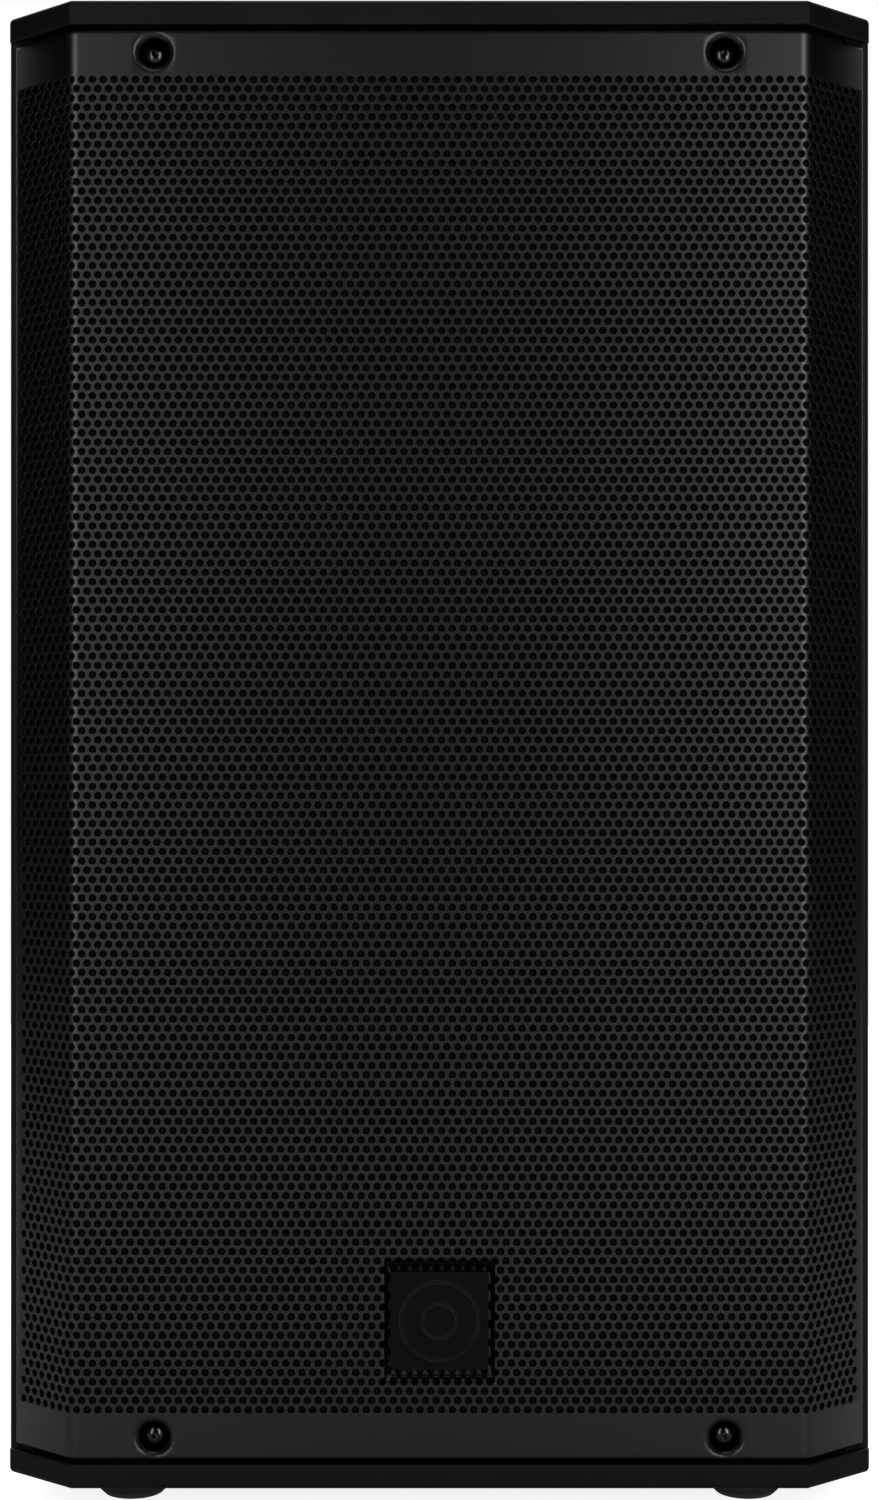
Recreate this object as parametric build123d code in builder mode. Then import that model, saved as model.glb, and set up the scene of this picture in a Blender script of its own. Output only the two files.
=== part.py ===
"""Two-way active PA speaker cabinet: bevelled wooden box, full-face steel grille, 15 inch woofer,
horn-loaded compression driver and a rear amplifier module.

Millimetres, +Z up. The front faces -Y, and the origin is the bottom centre of the bounding box.
"""

import os
from math import asin, cos, degrees, radians, sin, tan

from build123d import *

os.makedirs("parts", exist_ok=True)

# ---------------------------------------------------------------- driving dimensions
width = 410.0
depth = 400.0
height = 706.0
foot_height = 13.0
plate_thickness = 11.5  # top and bottom panels
wall_thickness = 12.0
baffle_thickness = 15.0
facet_half_width = 172.0  # flat middle of the front
bevel_angle = 38.0  # the front's outer facets, back from the front plane
taper_start_y = -20.0
rear_half_width = 125.0
sheet = 1.5  # steel grille
grille_inset = 13.0  # grille edge below the top face and above the bottom face
grille_screw_x = 133.0
grille_screw_inset = 24.0
badge_size = 45.6
badge_z = 91.0
woofer_z = 226.0
horn_z = 580.0
port_x = 105.0
port_z = 446.0
handle_z = 440.0
handle_y = -87.0
foot_radius = 17.5
front_foot = (147.5, -159.0)
rear_foot = (105.0, 160.0)
pole_y = -20.0
pole_radius = 18.0

# ---------------------------------------------------------------- derived dimensions
side_x = width / 2
front_y = -depth / 2
rear_y = depth / 2
bevel_y = front_y + (side_x - facet_half_width) * tan(radians(bevel_angle))
taper_slope = (side_x - rear_half_width) / (rear_y - taper_start_y)
floor_z = foot_height  # underside of the bottom panel
inner_bottom = foot_height + plate_thickness
inner_top = height - plate_thickness
inner_height = inner_top - inner_bottom
inner_x = side_x - wall_thickness
baffle_front = front_y + 38.0
baffle_back = baffle_front + baffle_thickness
rear_panel_back = rear_y - 23.0
rear_panel_front = rear_panel_back - wall_thickness
grille_front = front_y + 1.0
grille_bottom = foot_height + grille_inset
grille_top = height - grille_inset
grille_screw_zs = (foot_height + grille_screw_inset, height - grille_screw_inset)
badge_recess = (52.0, 59.0)
badge_recess_depth = 4.0


def wall_x(y, inset=0.0):
    """Half width at depth y behind the taper's start, measured inset inside the outer face."""
    slant = (1 + taper_slope**2) ** 0.5
    return side_x - (y - taper_start_y) * taper_slope - inset * slant


def facing(y):
    """Upright plane across the cabinet at depth y: local x is X, local y is Z, extrude goes forward."""
    return Plane.XZ.offset(-y)


def save(builder, label):
    """Name the finished piece and write it out."""
    builder.part.label = label
    export_step(builder.part, f"parts/{label}.step")


def mirrored(points):
    """Points of the right half, front to back, closed round by the left half."""
    return points + [(-x, y) for x, y in reversed(points)]


def turned(points, x, z, mode=Mode.ADD):
    """Revolve a profile of (y, radius) points about the line along Y through x, z."""
    with BuildSketch(Plane(origin=(x, 0, z), x_dir=(0, 1, 0), z_dir=(1, 0, 0))) as profile:
        with BuildLine():
            Polyline(*points, close=True)
        make_face()
    revolve(profile.sketch, axis=Axis((x, 0, z), (0, 1, 0)), mode=mode)


def across(y_front, y_back, size, x, z, radius=0.0, mode=Mode.ADD):
    """Upright plate from y_front to y_back, a rectangle or rounded rectangle of size (x, z)."""
    with BuildSketch(facing(y_back)) as face:
        with Locations((x, z)):
            if radius:
                RectangleRounded(*size, radius)
            else:
                Rectangle(*size)
    extrude(face.sketch, amount=y_back - y_front, mode=mode)


def rod(y_front, y_back, radius, places, mode=Mode.ADD):
    """Round rods or holes along Y at each (x, z) place."""
    with BuildSketch(facing(y_back)) as ends:
        with Locations(*places):
            Circle(radius)
    extrude(ends.sketch, amount=y_back - y_front, mode=mode)


def pan_screw(seat, outward, head_radius, head_height, shank_radius, length):
    """Pan-head screw with a round drive socket; its head stands outward from the seat point."""
    beside = (1, 0, 0) if outward[2] else (0, 0, 1)
    across_both = Vector(*outward).cross(Vector(*beside))
    with BuildSketch(Plane(origin=seat, x_dir=outward, z_dir=across_both)) as profile:
        with BuildLine():
            Polyline(
                (-length, 0),
                (-length, shank_radius),
                (0, shank_radius),
                (0, head_radius),
                (head_height * 0.45, head_radius * 0.97),
                (head_height, head_radius * 0.55),
                (head_height, head_radius * 0.34),
                (head_height * 0.4, head_radius * 0.3),
                (head_height * 0.4, 0),
                close=True,
            )
        make_face()
    revolve(profile.sketch, axis=Axis(seat, outward))


# ---------------------------------------------------------------- feet and pole socket places
foot_places = [(s * x, y) for x, y in (front_foot, rear_foot) for s in (-1, 1)]
fly_places = [(-120.0, -60.0), (120.0, -60.0)]
fly_hole_radius = 5.0
fly_body_radius = 9.0
pole_outer_radius = 21.5
pole_screw_spacing = 62.0
pole_top = 98.0
screw_radius = 2.4
screw_hole = 2.6

# ---------------------------------------------------------------- top and bottom panels
panel_outline = mirrored(
    [
        (facet_half_width, front_y),
        (side_x, bevel_y),
        (side_x, taper_start_y),
        (rear_half_width, rear_y),
    ]
)

with BuildPart() as top_panel:
    with BuildSketch(Plane.XY.offset(inner_top)) as plan:
        with BuildLine():
            Polyline(*panel_outline, close=True)
        make_face()
        fillet(plan.vertices(), radius=3.0)
    extrude(amount=plate_thickness)
    fillet(top_panel.faces().sort_by(Axis.Z)[-1].edges(), radius=2.5)
    fillet(top_panel.faces().sort_by(Axis.Z)[0].edges(), radius=0.8)
    with Locations((*fly_places[0], height), (*fly_places[1], height)):
        Hole(fly_body_radius, depth=plate_thickness)
save(top_panel, "top_panel")

with BuildPart() as bottom_panel:
    with BuildSketch(Plane.XY.offset(floor_z)) as plan:
        with BuildLine():
            Polyline(*panel_outline, close=True)
        make_face()
        fillet(plan.vertices(), radius=3.0)
    extrude(amount=plate_thickness)
    fillet(bottom_panel.faces().sort_by(Axis.Z)[0].edges(), radius=2.5)
    fillet(bottom_panel.faces().sort_by(Axis.Z)[-1].edges(), radius=0.8)
    with BuildSketch(Plane.XY.offset(floor_z)):
        with Locations((0, pole_y)):
            Circle(pole_outer_radius + 0.5)
        with Locations(*fly_places):
            Circle(fly_body_radius)
        with Locations(*foot_places):
            Circle(screw_hole)
        with Locations((0, pole_y)):
            with GridLocations(pole_screw_spacing, pole_screw_spacing, 2, 2):
                Circle(screw_hole)
    extrude(amount=plate_thickness, mode=Mode.SUBTRACT)
save(bottom_panel, "bottom_panel")

# ---------------------------------------------------------------- side panels
mitre_y = taper_start_y - (wall_thickness * (1 + taper_slope**2) ** 0.5 - wall_thickness) / taper_slope
side_front = bevel_y + 1.0
handle_opening = (112.0, 88.0)
handle_flange = (132.0, 108.0)
handle_rebate = 2.2
handle_screw_grid = (70.0, 97.4)


def side_panel(sign):
    """One side panel, its front edge bevelled inside to clear the bent grille."""
    lean = (side_x - 4.0 - inner_x) * tan(radians(bevel_angle))
    outline = [
        (side_x, side_front),
        (side_x - 4.0, side_front),
        (inner_x, side_front - lean),
        (inner_x, mitre_y),
        (side_x, taper_start_y),
    ]
    opening_plane = Plane(origin=(sign * side_x, handle_y, handle_z), x_dir=(0, 1, 0), z_dir=(sign, 0, 0))
    with BuildPart() as panel:
        with BuildSketch(Plane.XY.offset(inner_bottom)):
            with BuildLine():
                Polyline(*[(sign * x, y) for x, y in outline], close=True)
            make_face()
        extrude(amount=inner_height)
        front_edge = panel.edges().filter_by(Axis.Z).sort_by(lambda edge: -sign * edge.center().X)[:2]
        fillet(front_edge.sort_by(Axis.Y)[0], radius=2.5)
        with BuildSketch(opening_plane):
            RectangleRounded(*handle_flange, 20)
        extrude(amount=-handle_rebate, mode=Mode.SUBTRACT)
        with BuildSketch(opening_plane):
            RectangleRounded(*handle_opening, 19)
            with GridLocations(*handle_screw_grid, 2, 2):
                Circle(screw_hole)
        extrude(amount=-wall_thickness, mode=Mode.SUBTRACT)
    return panel


for side_name, sign in (("left", -1), ("right", 1)):
    save(side_panel(sign), f"{side_name}_side_panel")

# ---------------------------------------------------------------- rear walls and rear panel
rear_wall_end = rear_y - 2.0


def rear_wall(sign):
    """One tapering wall from the mitre to just inside the plates' rear edge."""
    outline = [
        (side_x, taper_start_y),
        (wall_x(rear_wall_end), rear_wall_end),
        (wall_x(rear_wall_end, wall_thickness), rear_wall_end),
        (inner_x, mitre_y),
    ]
    with BuildPart() as wall:
        with BuildSketch(Plane.XY.offset(inner_bottom)):
            with BuildLine():
                Polyline(*[(sign * x, y) for x, y in outline], close=True)
            make_face()
        extrude(amount=inner_height)
        fillet(wall.edges().filter_by(Axis.Z).sort_by(Axis.Y)[-2:], radius=2.5)
    return wall


for side_name, sign in (("left", -1), ("right", 1)):
    save(rear_wall(sign), f"{side_name}_rear_wall")

amp_z = 300.0
amp_cutout = (200.0, 400.0)
amp_size = (220.0, 420.0)
rear_fly_z = 610.0
amp_screw_x = 105.0
amp_screw_zs = (100.0, 200.0, 300.0, 400.0, 500.0)
amp_screw_places = [(s * amp_screw_x, z) for z in amp_screw_zs for s in (-1, 1)]

with BuildPart() as rear_panel:
    outline = [
        (wall_x(rear_panel_front, wall_thickness), rear_panel_front),
        (wall_x(rear_panel_back, wall_thickness), rear_panel_back),
    ]
    with BuildSketch(Plane.XY.offset(inner_bottom)):
        with BuildLine():
            Polyline(*mirrored(outline), close=True)
        make_face()
    extrude(amount=inner_height)
    across(rear_panel_front, rear_panel_back, amp_cutout, 0, amp_z, mode=Mode.SUBTRACT)
    rod(rear_panel_front, rear_panel_back, fly_body_radius, [(0, rear_fly_z)], Mode.SUBTRACT)
    rod(rear_panel_front, rear_panel_back, 2.0, amp_screw_places, Mode.SUBTRACT)
save(rear_panel, "rear_panel")

# ---------------------------------------------------------------- front baffle and brace
woofer_cutout = 177.5
woofer_screw_radius = 183.0
horn_cutout = (270.0, 150.0)
horn_flange = (300.0, 176.0)
horn_screw_grid = (284.0, 164.0)
port_outer = 35.0
port_inner = 32.0
port_flange = 38.0
port_places = [(-port_x, port_z), (port_x, port_z)]
woofer_screw_places = [
    (woofer_screw_radius * sin(radians(a)), woofer_z + woofer_screw_radius * cos(radians(a)))
    for a in [22.5 + 45 * n for n in range(8)]
]
horn_screw_places = [
    (x, horn_z + z)
    for x in (-horn_screw_grid[0] / 2, 0, horn_screw_grid[0] / 2)
    for z in (-horn_screw_grid[1] / 2, horn_screw_grid[1] / 2)
]

with BuildPart() as front_baffle:
    middle_z = (inner_bottom + inner_top) / 2
    across(baffle_front, baffle_back, (2 * inner_x, inner_height), 0, middle_z)
    rod(baffle_front, baffle_back, woofer_cutout, [(0, woofer_z)], Mode.SUBTRACT)
    rod(baffle_front, baffle_back, port_outer + 0.5, port_places, Mode.SUBTRACT)
    across(baffle_front, baffle_back, horn_cutout, 0, horn_z, 14, Mode.SUBTRACT)
    rod(baffle_front, baffle_back, screw_hole, woofer_screw_places, Mode.SUBTRACT)
    rod(baffle_front, baffle_back, 2.2, horn_screw_places, Mode.SUBTRACT)
save(front_baffle, "front_baffle")

brace_z = 500.0
brace_reach = 60.0
with BuildPart() as cross_brace:
    outline = [
        (inner_x, -brace_reach),
        (inner_x, mitre_y),
        (wall_x(brace_reach, wall_thickness), brace_reach),
    ]
    with BuildSketch(Plane.XY.offset(brace_z)):
        with BuildLine():
            Polyline(*mirrored(outline), close=True)
        make_face()
        with Locations((-90, 0), (90, 0)):
            SlotOverall(110, 60, mode=Mode.SUBTRACT)
    extrude(amount=wall_thickness)
save(cross_brace, "cross_brace")

# ---------------------------------------------------------------- grille, its blocks and screws
dimple_radius = 10.0
dimple_floor = grille_front + 5.5
grille_screw_places = [(s * grille_screw_x, z) for z in grille_screw_zs for s in (-1, 1)]
grille_edge_x = side_x - 3.4
fold_depth = 7.0
fold_edge_x = 190.0


def bent_band(end_x, thickness):
    """Plan outline of a band that follows the bent grille, outer face first."""
    lean = radians(bevel_angle)
    end_y = grille_front + (end_x - facet_half_width + 1.0) * tan(lean)
    bend_x = facet_half_width - 1.0
    inner_bend = (bend_x - thickness * tan(lean / 2), grille_front + thickness)
    inner_end = (end_x - thickness * sin(lean), end_y + thickness * cos(lean))
    outer = [(bend_x, grille_front), (end_x, end_y)]
    return outer + [inner_end, inner_bend] + [(-x, y) for x, y in [inner_bend, inner_end]] + [
        (-x, y) for x, y in reversed(outer)
    ]


def build_band(points, z_low, z_high, bend_radius, inner_radius):
    """Upright band with its four bends rounded."""
    with BuildSketch(Plane.XY.offset(z_low)) as plan:
        with BuildLine():
            Polyline(*points, close=True)
        make_face()
        by_depth = plan.vertices().group_by(Axis.Y)
        fillet(by_depth[0], radius=bend_radius)
        inner = [v for v in plan.vertices() if abs(v.Y - points[3][1]) < 0.01]
        fillet(inner, radius=inner_radius)
    extrude(plan.sketch, amount=z_high - z_low)


with BuildPart() as grille:
    build_band(bent_band(grille_edge_x, sheet), grille_bottom, grille_top, 3.0, 1.5)
    for z_low in (grille_bottom, grille_top - sheet):
        build_band(bent_band(fold_edge_x, fold_depth), z_low, z_low + sheet, 3.0, 1.5)
    rod(grille_front - 1, grille_front + sheet + 1, dimple_radius, grille_screw_places, Mode.SUBTRACT)
    for x, z in grille_screw_places:
        turned(
            [
                (grille_front, dimple_radius),
                (grille_front + 2.2, 7.0),
                (dimple_floor, 6.8),
                (dimple_floor, screw_hole),
                (dimple_floor + sheet, screw_hole),
                (dimple_floor + sheet, 8.3),
                (grille_front + 3.0, 8.6),
                (grille_front + sheet, dimple_radius),
            ],
            x,
            z,
        )
    tray_inner = (badge_recess[0] - 2 * sheet, badge_recess[1] - 2 * sheet)
    recess_floor = grille_front + badge_recess_depth
    across(grille_front - 1, grille_front + sheet, badge_recess, 0, badge_z, mode=Mode.SUBTRACT)
    across(grille_front, recess_floor + sheet, badge_recess, 0, badge_z)
    across(grille_front, recess_floor, tray_inner, 0, badge_z, mode=Mode.SUBTRACT)
save(grille, "grille")

block_size = 24.0
block_front = dimple_floor + sheet + 0.2
with BuildPart() as grille_blocks:
    for x, z in grille_screw_places:
        across(block_front, baffle_front, (block_size, block_size), x, z)
    rod(block_front, baffle_front, screw_hole, grille_screw_places, Mode.SUBTRACT)
save(grille_blocks, "grille_blocks")

with BuildPart() as grille_screws:
    for x, z in grille_screw_places:
        pan_screw((x, dimple_floor, z), (0, -1, 0), 4.8, 3.6, screw_radius, 18.0)
save(grille_screws, "grille_screws")

foam_thickness = 4.0
foam_edge_x = 193.0
foam_bottom = 48.2
foam_top = 670.8
with BuildPart() as grille_foam:
    foam_gap = sheet + 0.3
    band = bent_band(foam_edge_x, foam_gap + foam_thickness)
    skin = bent_band(foam_edge_x, foam_gap)
    foam_outline = skin[2:4] + [(-x, y) for x, y in reversed(skin[2:4])]
    foam_outline += [(-x, y) for x, y in band[2:4]] + list(reversed(band[2:4]))
    with BuildSketch(Plane.XY.offset(foam_bottom)):
        with BuildLine():
            Polyline(*foam_outline, close=True)
        make_face()
    extrude(amount=foam_top - foam_bottom)
    foam_hole = (badge_recess[0] + 2, badge_recess[1] + 2)
    across(grille_front, grille_front + 10, foam_hole, 0, badge_z, mode=Mode.SUBTRACT)
save(grille_foam, "grille_foam")

badge_front = grille_front + 0.6
with BuildPart() as badge_plate:
    across(badge_front, recess_floor - 0.2, (badge_size, badge_size), 0, badge_z, 1.5)
    front_edges = badge_plate.faces().sort_by(Axis.Y)[0].edges()
    fillet(front_edges, radius=0.6)
    for ring_radius in (18.2, 8.0):
        with BuildSketch(facing(badge_front + 0.5)) as ring:
            with Locations((0, badge_z)):
                Circle(ring_radius + 0.5)
                Circle(ring_radius - 0.5, mode=Mode.SUBTRACT)
        extrude(ring.sketch, amount=1.0, mode=Mode.SUBTRACT)
save(badge_plate, "badge_plate")

# ---------------------------------------------------------------- woofer
flange_front = baffle_front - 7.5
flange_back = baffle_front - 1.5
flange_radius = 188.0
basket_mouth_y = -145.0  # where the basket starts to narrow
basket_mouth = 176.5
basket_neck_y = -62.0
basket_back = basket_neck_y + 13.0
basket_wall = 7.5
coil_radius = 38.1
coil_wire_front = -57.0
coil_back = -28.0
cone_rim = 147.0
cone_rim_y = flange_front + 4.5
cone_neck_y = -110.0
cone_thickness = 1.8
window_depth = 70.0  # length of the openings between the basket's spokes

with BuildPart() as woofer_frame:
    turned(
        [
            (flange_front, 173.0),
            (flange_front, flange_radius),
            (flange_back, flange_radius),
            (flange_back, basket_mouth),
            (basket_mouth_y, basket_mouth),
            (basket_neck_y, 100.0),
            (basket_back, 97.0),
            (basket_back, 45.0),
            (basket_neck_y, 45.0),
            (basket_neck_y, 100.0 - basket_wall),
            (basket_mouth_y - 1.0, 170.0),
            (basket_mouth_y - 15.0, 171.5),
        ],
        0,
        woofer_z,
    )
    with BuildSketch(facing(basket_neck_y - 6.0)) as windows:
        with Locations((0, woofer_z)):
            Circle(basket_mouth - 8.5)
            Circle(106.0, mode=Mode.SUBTRACT)
            with PolarLocations(0, 3):
                Rectangle(2 * basket_mouth, 28.0, mode=Mode.SUBTRACT)
    extrude(windows.sketch, amount=window_depth, mode=Mode.SUBTRACT)
    rod(flange_front, flange_back, screw_hole + 0.1, woofer_screw_places, Mode.SUBTRACT)
    across(basket_neck_y, basket_back, (30.0, 22.0), 0, woofer_z + 104.0)
save(woofer_frame, "woofer_frame")

with BuildPart() as woofer_gasket:
    turned(
        [
            (flange_back, woofer_cutout + 0.5),
            (flange_back, flange_radius),
            (baffle_front, flange_radius),
            (baffle_front, woofer_cutout + 0.5),
        ],
        0,
        woofer_z,
    )
    rod(flange_back, baffle_front, screw_hole + 0.4, woofer_screw_places, Mode.SUBTRACT)
save(woofer_gasket, "woofer_gasket")

with BuildPart() as woofer_screws:
    for x, z in woofer_screw_places:
        pan_screw((x, flange_front, z), (0, -1, 0), 4.6, 3.2, screw_radius, 20.0)
save(woofer_screws, "woofer_screws")

with BuildPart() as woofer_cone:
    turned(
        [
            (cone_rim_y, cone_rim),
            (cone_neck_y, coil_radius + 0.8),
            (cone_neck_y + cone_thickness, coil_radius + 0.8),
            (cone_rim_y + cone_thickness, cone_rim),
        ],
        0,
        woofer_z,
    )
save(woofer_cone, "woofer_cone")

with BuildPart() as woofer_dust_cap:
    cap_base, cap_rise, cap_thickness = 55.0, 23.0, 1.2
    cap_sphere = (cap_base**2 + cap_rise**2) / (2 * cap_rise)
    cap_centre = (-142.0 + cap_sphere, 0)
    cap_arc = degrees(asin(cap_base / cap_sphere))
    with BuildSketch(Plane(origin=(0, 0, woofer_z), x_dir=(0, 1, 0), z_dir=(1, 0, 0))):
        with BuildLine():
            outer = CenterArc(cap_centre, cap_sphere, 180 - cap_arc, cap_arc)
            inner = CenterArc(cap_centre, cap_sphere - cap_thickness, 180 - cap_arc, cap_arc)
            Line(outer @ 0, inner @ 0)
            Line(outer @ 1, inner @ 1)
        make_face()
    revolve(axis=Axis((0, 0, woofer_z), (0, 1, 0)))
save(woofer_dust_cap, "woofer_dust_cap")

with BuildPart() as woofer_voice_coil:
    turned(
        [
            (cone_neck_y, coil_radius),
            (cone_neck_y, coil_radius + 0.5),
            (coil_wire_front, coil_radius + 0.5),
            (coil_wire_front, coil_radius + 1.2),
            (coil_back, coil_radius + 1.2),
            (coil_back, coil_radius),
        ],
        0,
        woofer_z,
    )
save(woofer_voice_coil, "woofer_voice_coil")

with BuildPart() as woofer_surround:
    with BuildSketch(Plane(origin=(0, 0, woofer_z), x_dir=(0, 1, 0), z_dir=(1, 0, 0))):
        with BuildLine():
            start = (cone_rim_y - 0.5, cone_rim + 0.4)
            crest = flange_front - 10.0
            lip = flange_front - 1.8
            crest_radius = 161.0
            over = ThreePointArc(start, (crest, crest_radius), (lip, 174.5))
            outer_lip = Polyline(over @ 1, (lip, 177.5), (lip + 1.5, 177.5), (lip + 1.5, 173.3))
            under = ThreePointArc(outer_lip @ 1, (crest + 1.5, crest_radius), (start[0], start[1] + 1.5))
            Line(under @ 1, over @ 0)
        make_face()
    revolve(axis=Axis((0, 0, woofer_z), (0, 1, 0)))
save(woofer_surround, "woofer_surround")

spider_y = -70.0
spider_wave = 2.5
spider_rings = 9
with BuildPart() as woofer_spider:
    ridge = [
        (spider_y + spider_wave * (-1) ** n, 39.1 + n * 4.6) for n in range(spider_rings + 1)
    ]
    ridge += [(basket_neck_y - 1.2, 84.0), (basket_neck_y - 1.2, 91.0)]
    cloth = 0.4
    turned(
        [(y - cloth, r) for y, r in ridge] + [(y + cloth, r) for y, r in reversed(ridge)],
        0,
        woofer_z,
    )
save(woofer_spider, "woofer_spider")

top_plate_back = basket_back + 10.0
magnet_back = top_plate_back + 24.0
motor_back = magnet_back + 11.0
with BuildPart() as woofer_top_plate:
    turned(
        [(basket_back, 40.2), (basket_back, 92.0), (top_plate_back, 92.0), (top_plate_back, 40.2)],
        0,
        woofer_z,
    )
save(woofer_top_plate, "woofer_top_plate")

with BuildPart() as woofer_magnet:
    turned(
        [(top_plate_back, 52.0), (top_plate_back, 98.0), (magnet_back, 98.0), (magnet_back, 52.0)],
        0,
        woofer_z,
    )
    fillet(woofer_magnet.edges().filter_by(GeomType.CIRCLE).sort_by(SortBy.RADIUS)[-2:], radius=1.5)
save(woofer_magnet, "woofer_magnet")

with BuildPart() as woofer_back_plate:
    turned(
        [
            (basket_back, 12.0),
            (basket_back, 37.0),
            (magnet_back, 37.0),
            (magnet_back, 94.0),
            (motor_back - 3, 94.0),
            (motor_back, 88.0),
            (motor_back, 15.0),
            (motor_back - 3, 12.0),
        ],
        0,
        woofer_z,
    )
save(woofer_back_plate, "woofer_back_plate")

# ---------------------------------------------------------------- horn and compression driver
horn_front = baffle_front - 5.0
throat_y = -57.0
horn_wall = 4.0
horn_sections = [  # depth, width, height, corner radius of the air passage
    (horn_front, 256.0, 136.0, 10.0),
    (-140.0, 188.0, 108.0, 14.0),
    (-100.0, 92.0, 68.0, 16.0),
    (throat_y, 36.0, 36.0, 17.5),
]


def horn_faces(wall):
    """The horn's sections, grown by the wall, as faces to loft through."""
    faces = []
    for y, section_width, section_height, corner in horn_sections:
        with BuildSketch(facing(y)) as section:
            with Locations((0, horn_z)):
                RectangleRounded(section_width + 2 * wall, section_height + 2 * wall, corner + wall)
        faces.append(section.sketch.face())
    return faces


with BuildPart() as horn:
    loft(horn_faces(horn_wall), ruled=True)
    across(horn_front, baffle_front, horn_flange, 0, horn_z, 12)
    rod(throat_y - 6, throat_y, 42.0, [(0, horn_z)])
    loft(horn_faces(0.0), ruled=True, mode=Mode.SUBTRACT)
    rod(horn_front, baffle_front, 2.3, horn_screw_places, Mode.SUBTRACT)
save(horn, "horn")

with BuildPart() as horn_screws:
    for x, z in horn_screw_places:
        pan_screw((x, horn_front, z), (0, -1, 0), 4.0, 2.8, 2.0, 18.0)
save(horn_screws, "horn_screws")

driver_back = throat_y + 45.0
with BuildPart() as hf_driver_body:
    turned(
        [
            (throat_y, 18.3),
            (throat_y, 60.0),
            (driver_back, 60.0),
            (driver_back, 46.0),
            (driver_back - 10.0, 46.0),
            (driver_back - 10.0, 32.0),
        ],
        0,
        horn_z,
    )
save(hf_driver_body, "hf_driver_body")

plug_back = driver_back - 10.6
with BuildPart() as hf_phase_plug:
    turned(
        [
            (throat_y + 11.0, 0),
            (plug_back - 1.4, 21.0),
            (plug_back - 1.9, 28.0),
            (plug_back, 29.6),
            (plug_back, 0),
        ],
        0,
        horn_z,
    )
    with BuildSketch(facing(plug_back)) as slots:
        with Locations((0, horn_z)):
            with PolarLocations(25.4, 8):
                Rectangle(5.0, 1.6)
    extrude(slots.sketch, amount=4.0, mode=Mode.SUBTRACT)
save(hf_phase_plug, "hf_phase_plug")

with BuildPart() as hf_diaphragm:
    dome_base, dome_rise, dome_thickness, dome_rim = 36.0, 10.0, 0.6, 43.0
    dome_sphere = (dome_base**2 + dome_rise**2) / (2 * dome_rise)
    dome_centre = (driver_back + 2.6 - dome_sphere, 0)
    dome_arc = degrees(asin(dome_base / dome_sphere))
    with BuildSketch(Plane(origin=(0, 0, horn_z), x_dir=(0, 1, 0), z_dir=(1, 0, 0))):
        with BuildLine():
            outer = CenterArc(dome_centre, dome_sphere, 0, dome_arc)
            inner = CenterArc(dome_centre, dome_sphere - dome_thickness, 0, dome_arc)
            Line(outer @ 0, inner @ 0)
            Polyline(outer @ 1, ((outer @ 1).X, dome_rim), ((inner @ 1).X, dome_rim), inner @ 1)
        make_face()
    revolve(axis=Axis((0, 0, horn_z), (0, 1, 0)))
save(hf_diaphragm, "hf_diaphragm")

cover_depth = 22.0
with BuildPart() as hf_rear_cover:
    turned(
        [
            (driver_back, 46.0),
            (driver_back, 58.0),
            (driver_back + cover_depth - 3, 58.0),
            (driver_back + cover_depth, 54.0),
            (driver_back + cover_depth, 0),
            (driver_back + cover_depth - 4, 0),
            (driver_back + cover_depth - 4, 46.0),
        ],
        0,
        horn_z,
    )
save(hf_rear_cover, "hf_rear_cover")

port_length = 110.0
with BuildPart() as port_tubes:
    for x, z in port_places:
        turned(
            [
                (baffle_front - 3, port_inner + 2.5),
                (baffle_front - 3, port_flange),
                (baffle_front, port_flange),
                (baffle_front, port_outer),
                (baffle_front + port_length, port_outer),
                (baffle_front + port_length, port_inner),
                (baffle_front + 4, port_inner),
            ],
            x,
            z,
        )
save(port_tubes, "port_tubes")

# ---------------------------------------------------------------- amplifier module
gasket_back = rear_panel_back + 2.0
amp_back = gasket_back + 3.0
column = (-60.0, 0.0, 60.0)
knob_z = 288.0
button_z = 256.0
jack_z = 214.0
mains_z = 140.0
jack_places = [(column[0], jack_z), (column[1], jack_z)]
link_place = (column[2], jack_z)
knob_places = [(column[0], knob_z), (column[1], knob_z)]
button_places = [(column[0], button_z), (column[1], button_z)]
preset_place = (column[2], knob_z)
inlet_place = (column[0], mains_z)
outlet_place = (column[1], mains_z)
switch_place = (column[2], mains_z)
lamp_places = [(column[2] - 15.0 + 10.0 * n, button_z) for n in range(4)]
jack_hole = 12.0
latch_rise = 10.5  # latch tab above the jack's centre
latch_slot = (8.8, 4.8)
mains_cutout = (27.6, 21.0)
switch_cutout = (25.6, 28.6)
sink_z = 410.0
sink_size = (200.0, 170.0)

with BuildPart() as amp_gasket:
    across(rear_panel_back, gasket_back, amp_size, 0, amp_z, 4)
    across(rear_panel_back, gasket_back, amp_cutout, 0, amp_z, mode=Mode.SUBTRACT)
    rod(rear_panel_back, gasket_back, screw_hole, amp_screw_places, Mode.SUBTRACT)
save(amp_gasket, "amp_gasket")

with BuildPart() as amp_plate:
    across(gasket_back, amp_back, amp_size, 0, amp_z, 4)
    with BuildSketch(facing(amp_back)) as openings:
        with Locations(*jack_places, link_place):
            Circle(jack_hole)
        with Locations(*[(x, z + latch_rise) for x, z in jack_places]):
            Rectangle(latch_slot[0] + 0.8, latch_slot[1] + 0.8)
        with Locations(*knob_places):
            Circle(3.6)
        with Locations(*button_places, preset_place):
            Rectangle(8.0, 8.0)
        with Locations(*lamp_places):
            Circle(1.7)
        with Locations(inlet_place, outlet_place):
            Rectangle(*mains_cutout)
        with Locations(switch_place):
            Rectangle(*switch_cutout)
        with Locations(*amp_screw_places):
            Circle(2.3)
    extrude(openings.sketch, amount=amp_back - gasket_back, mode=Mode.SUBTRACT)
save(amp_plate, "amp_plate")

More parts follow.
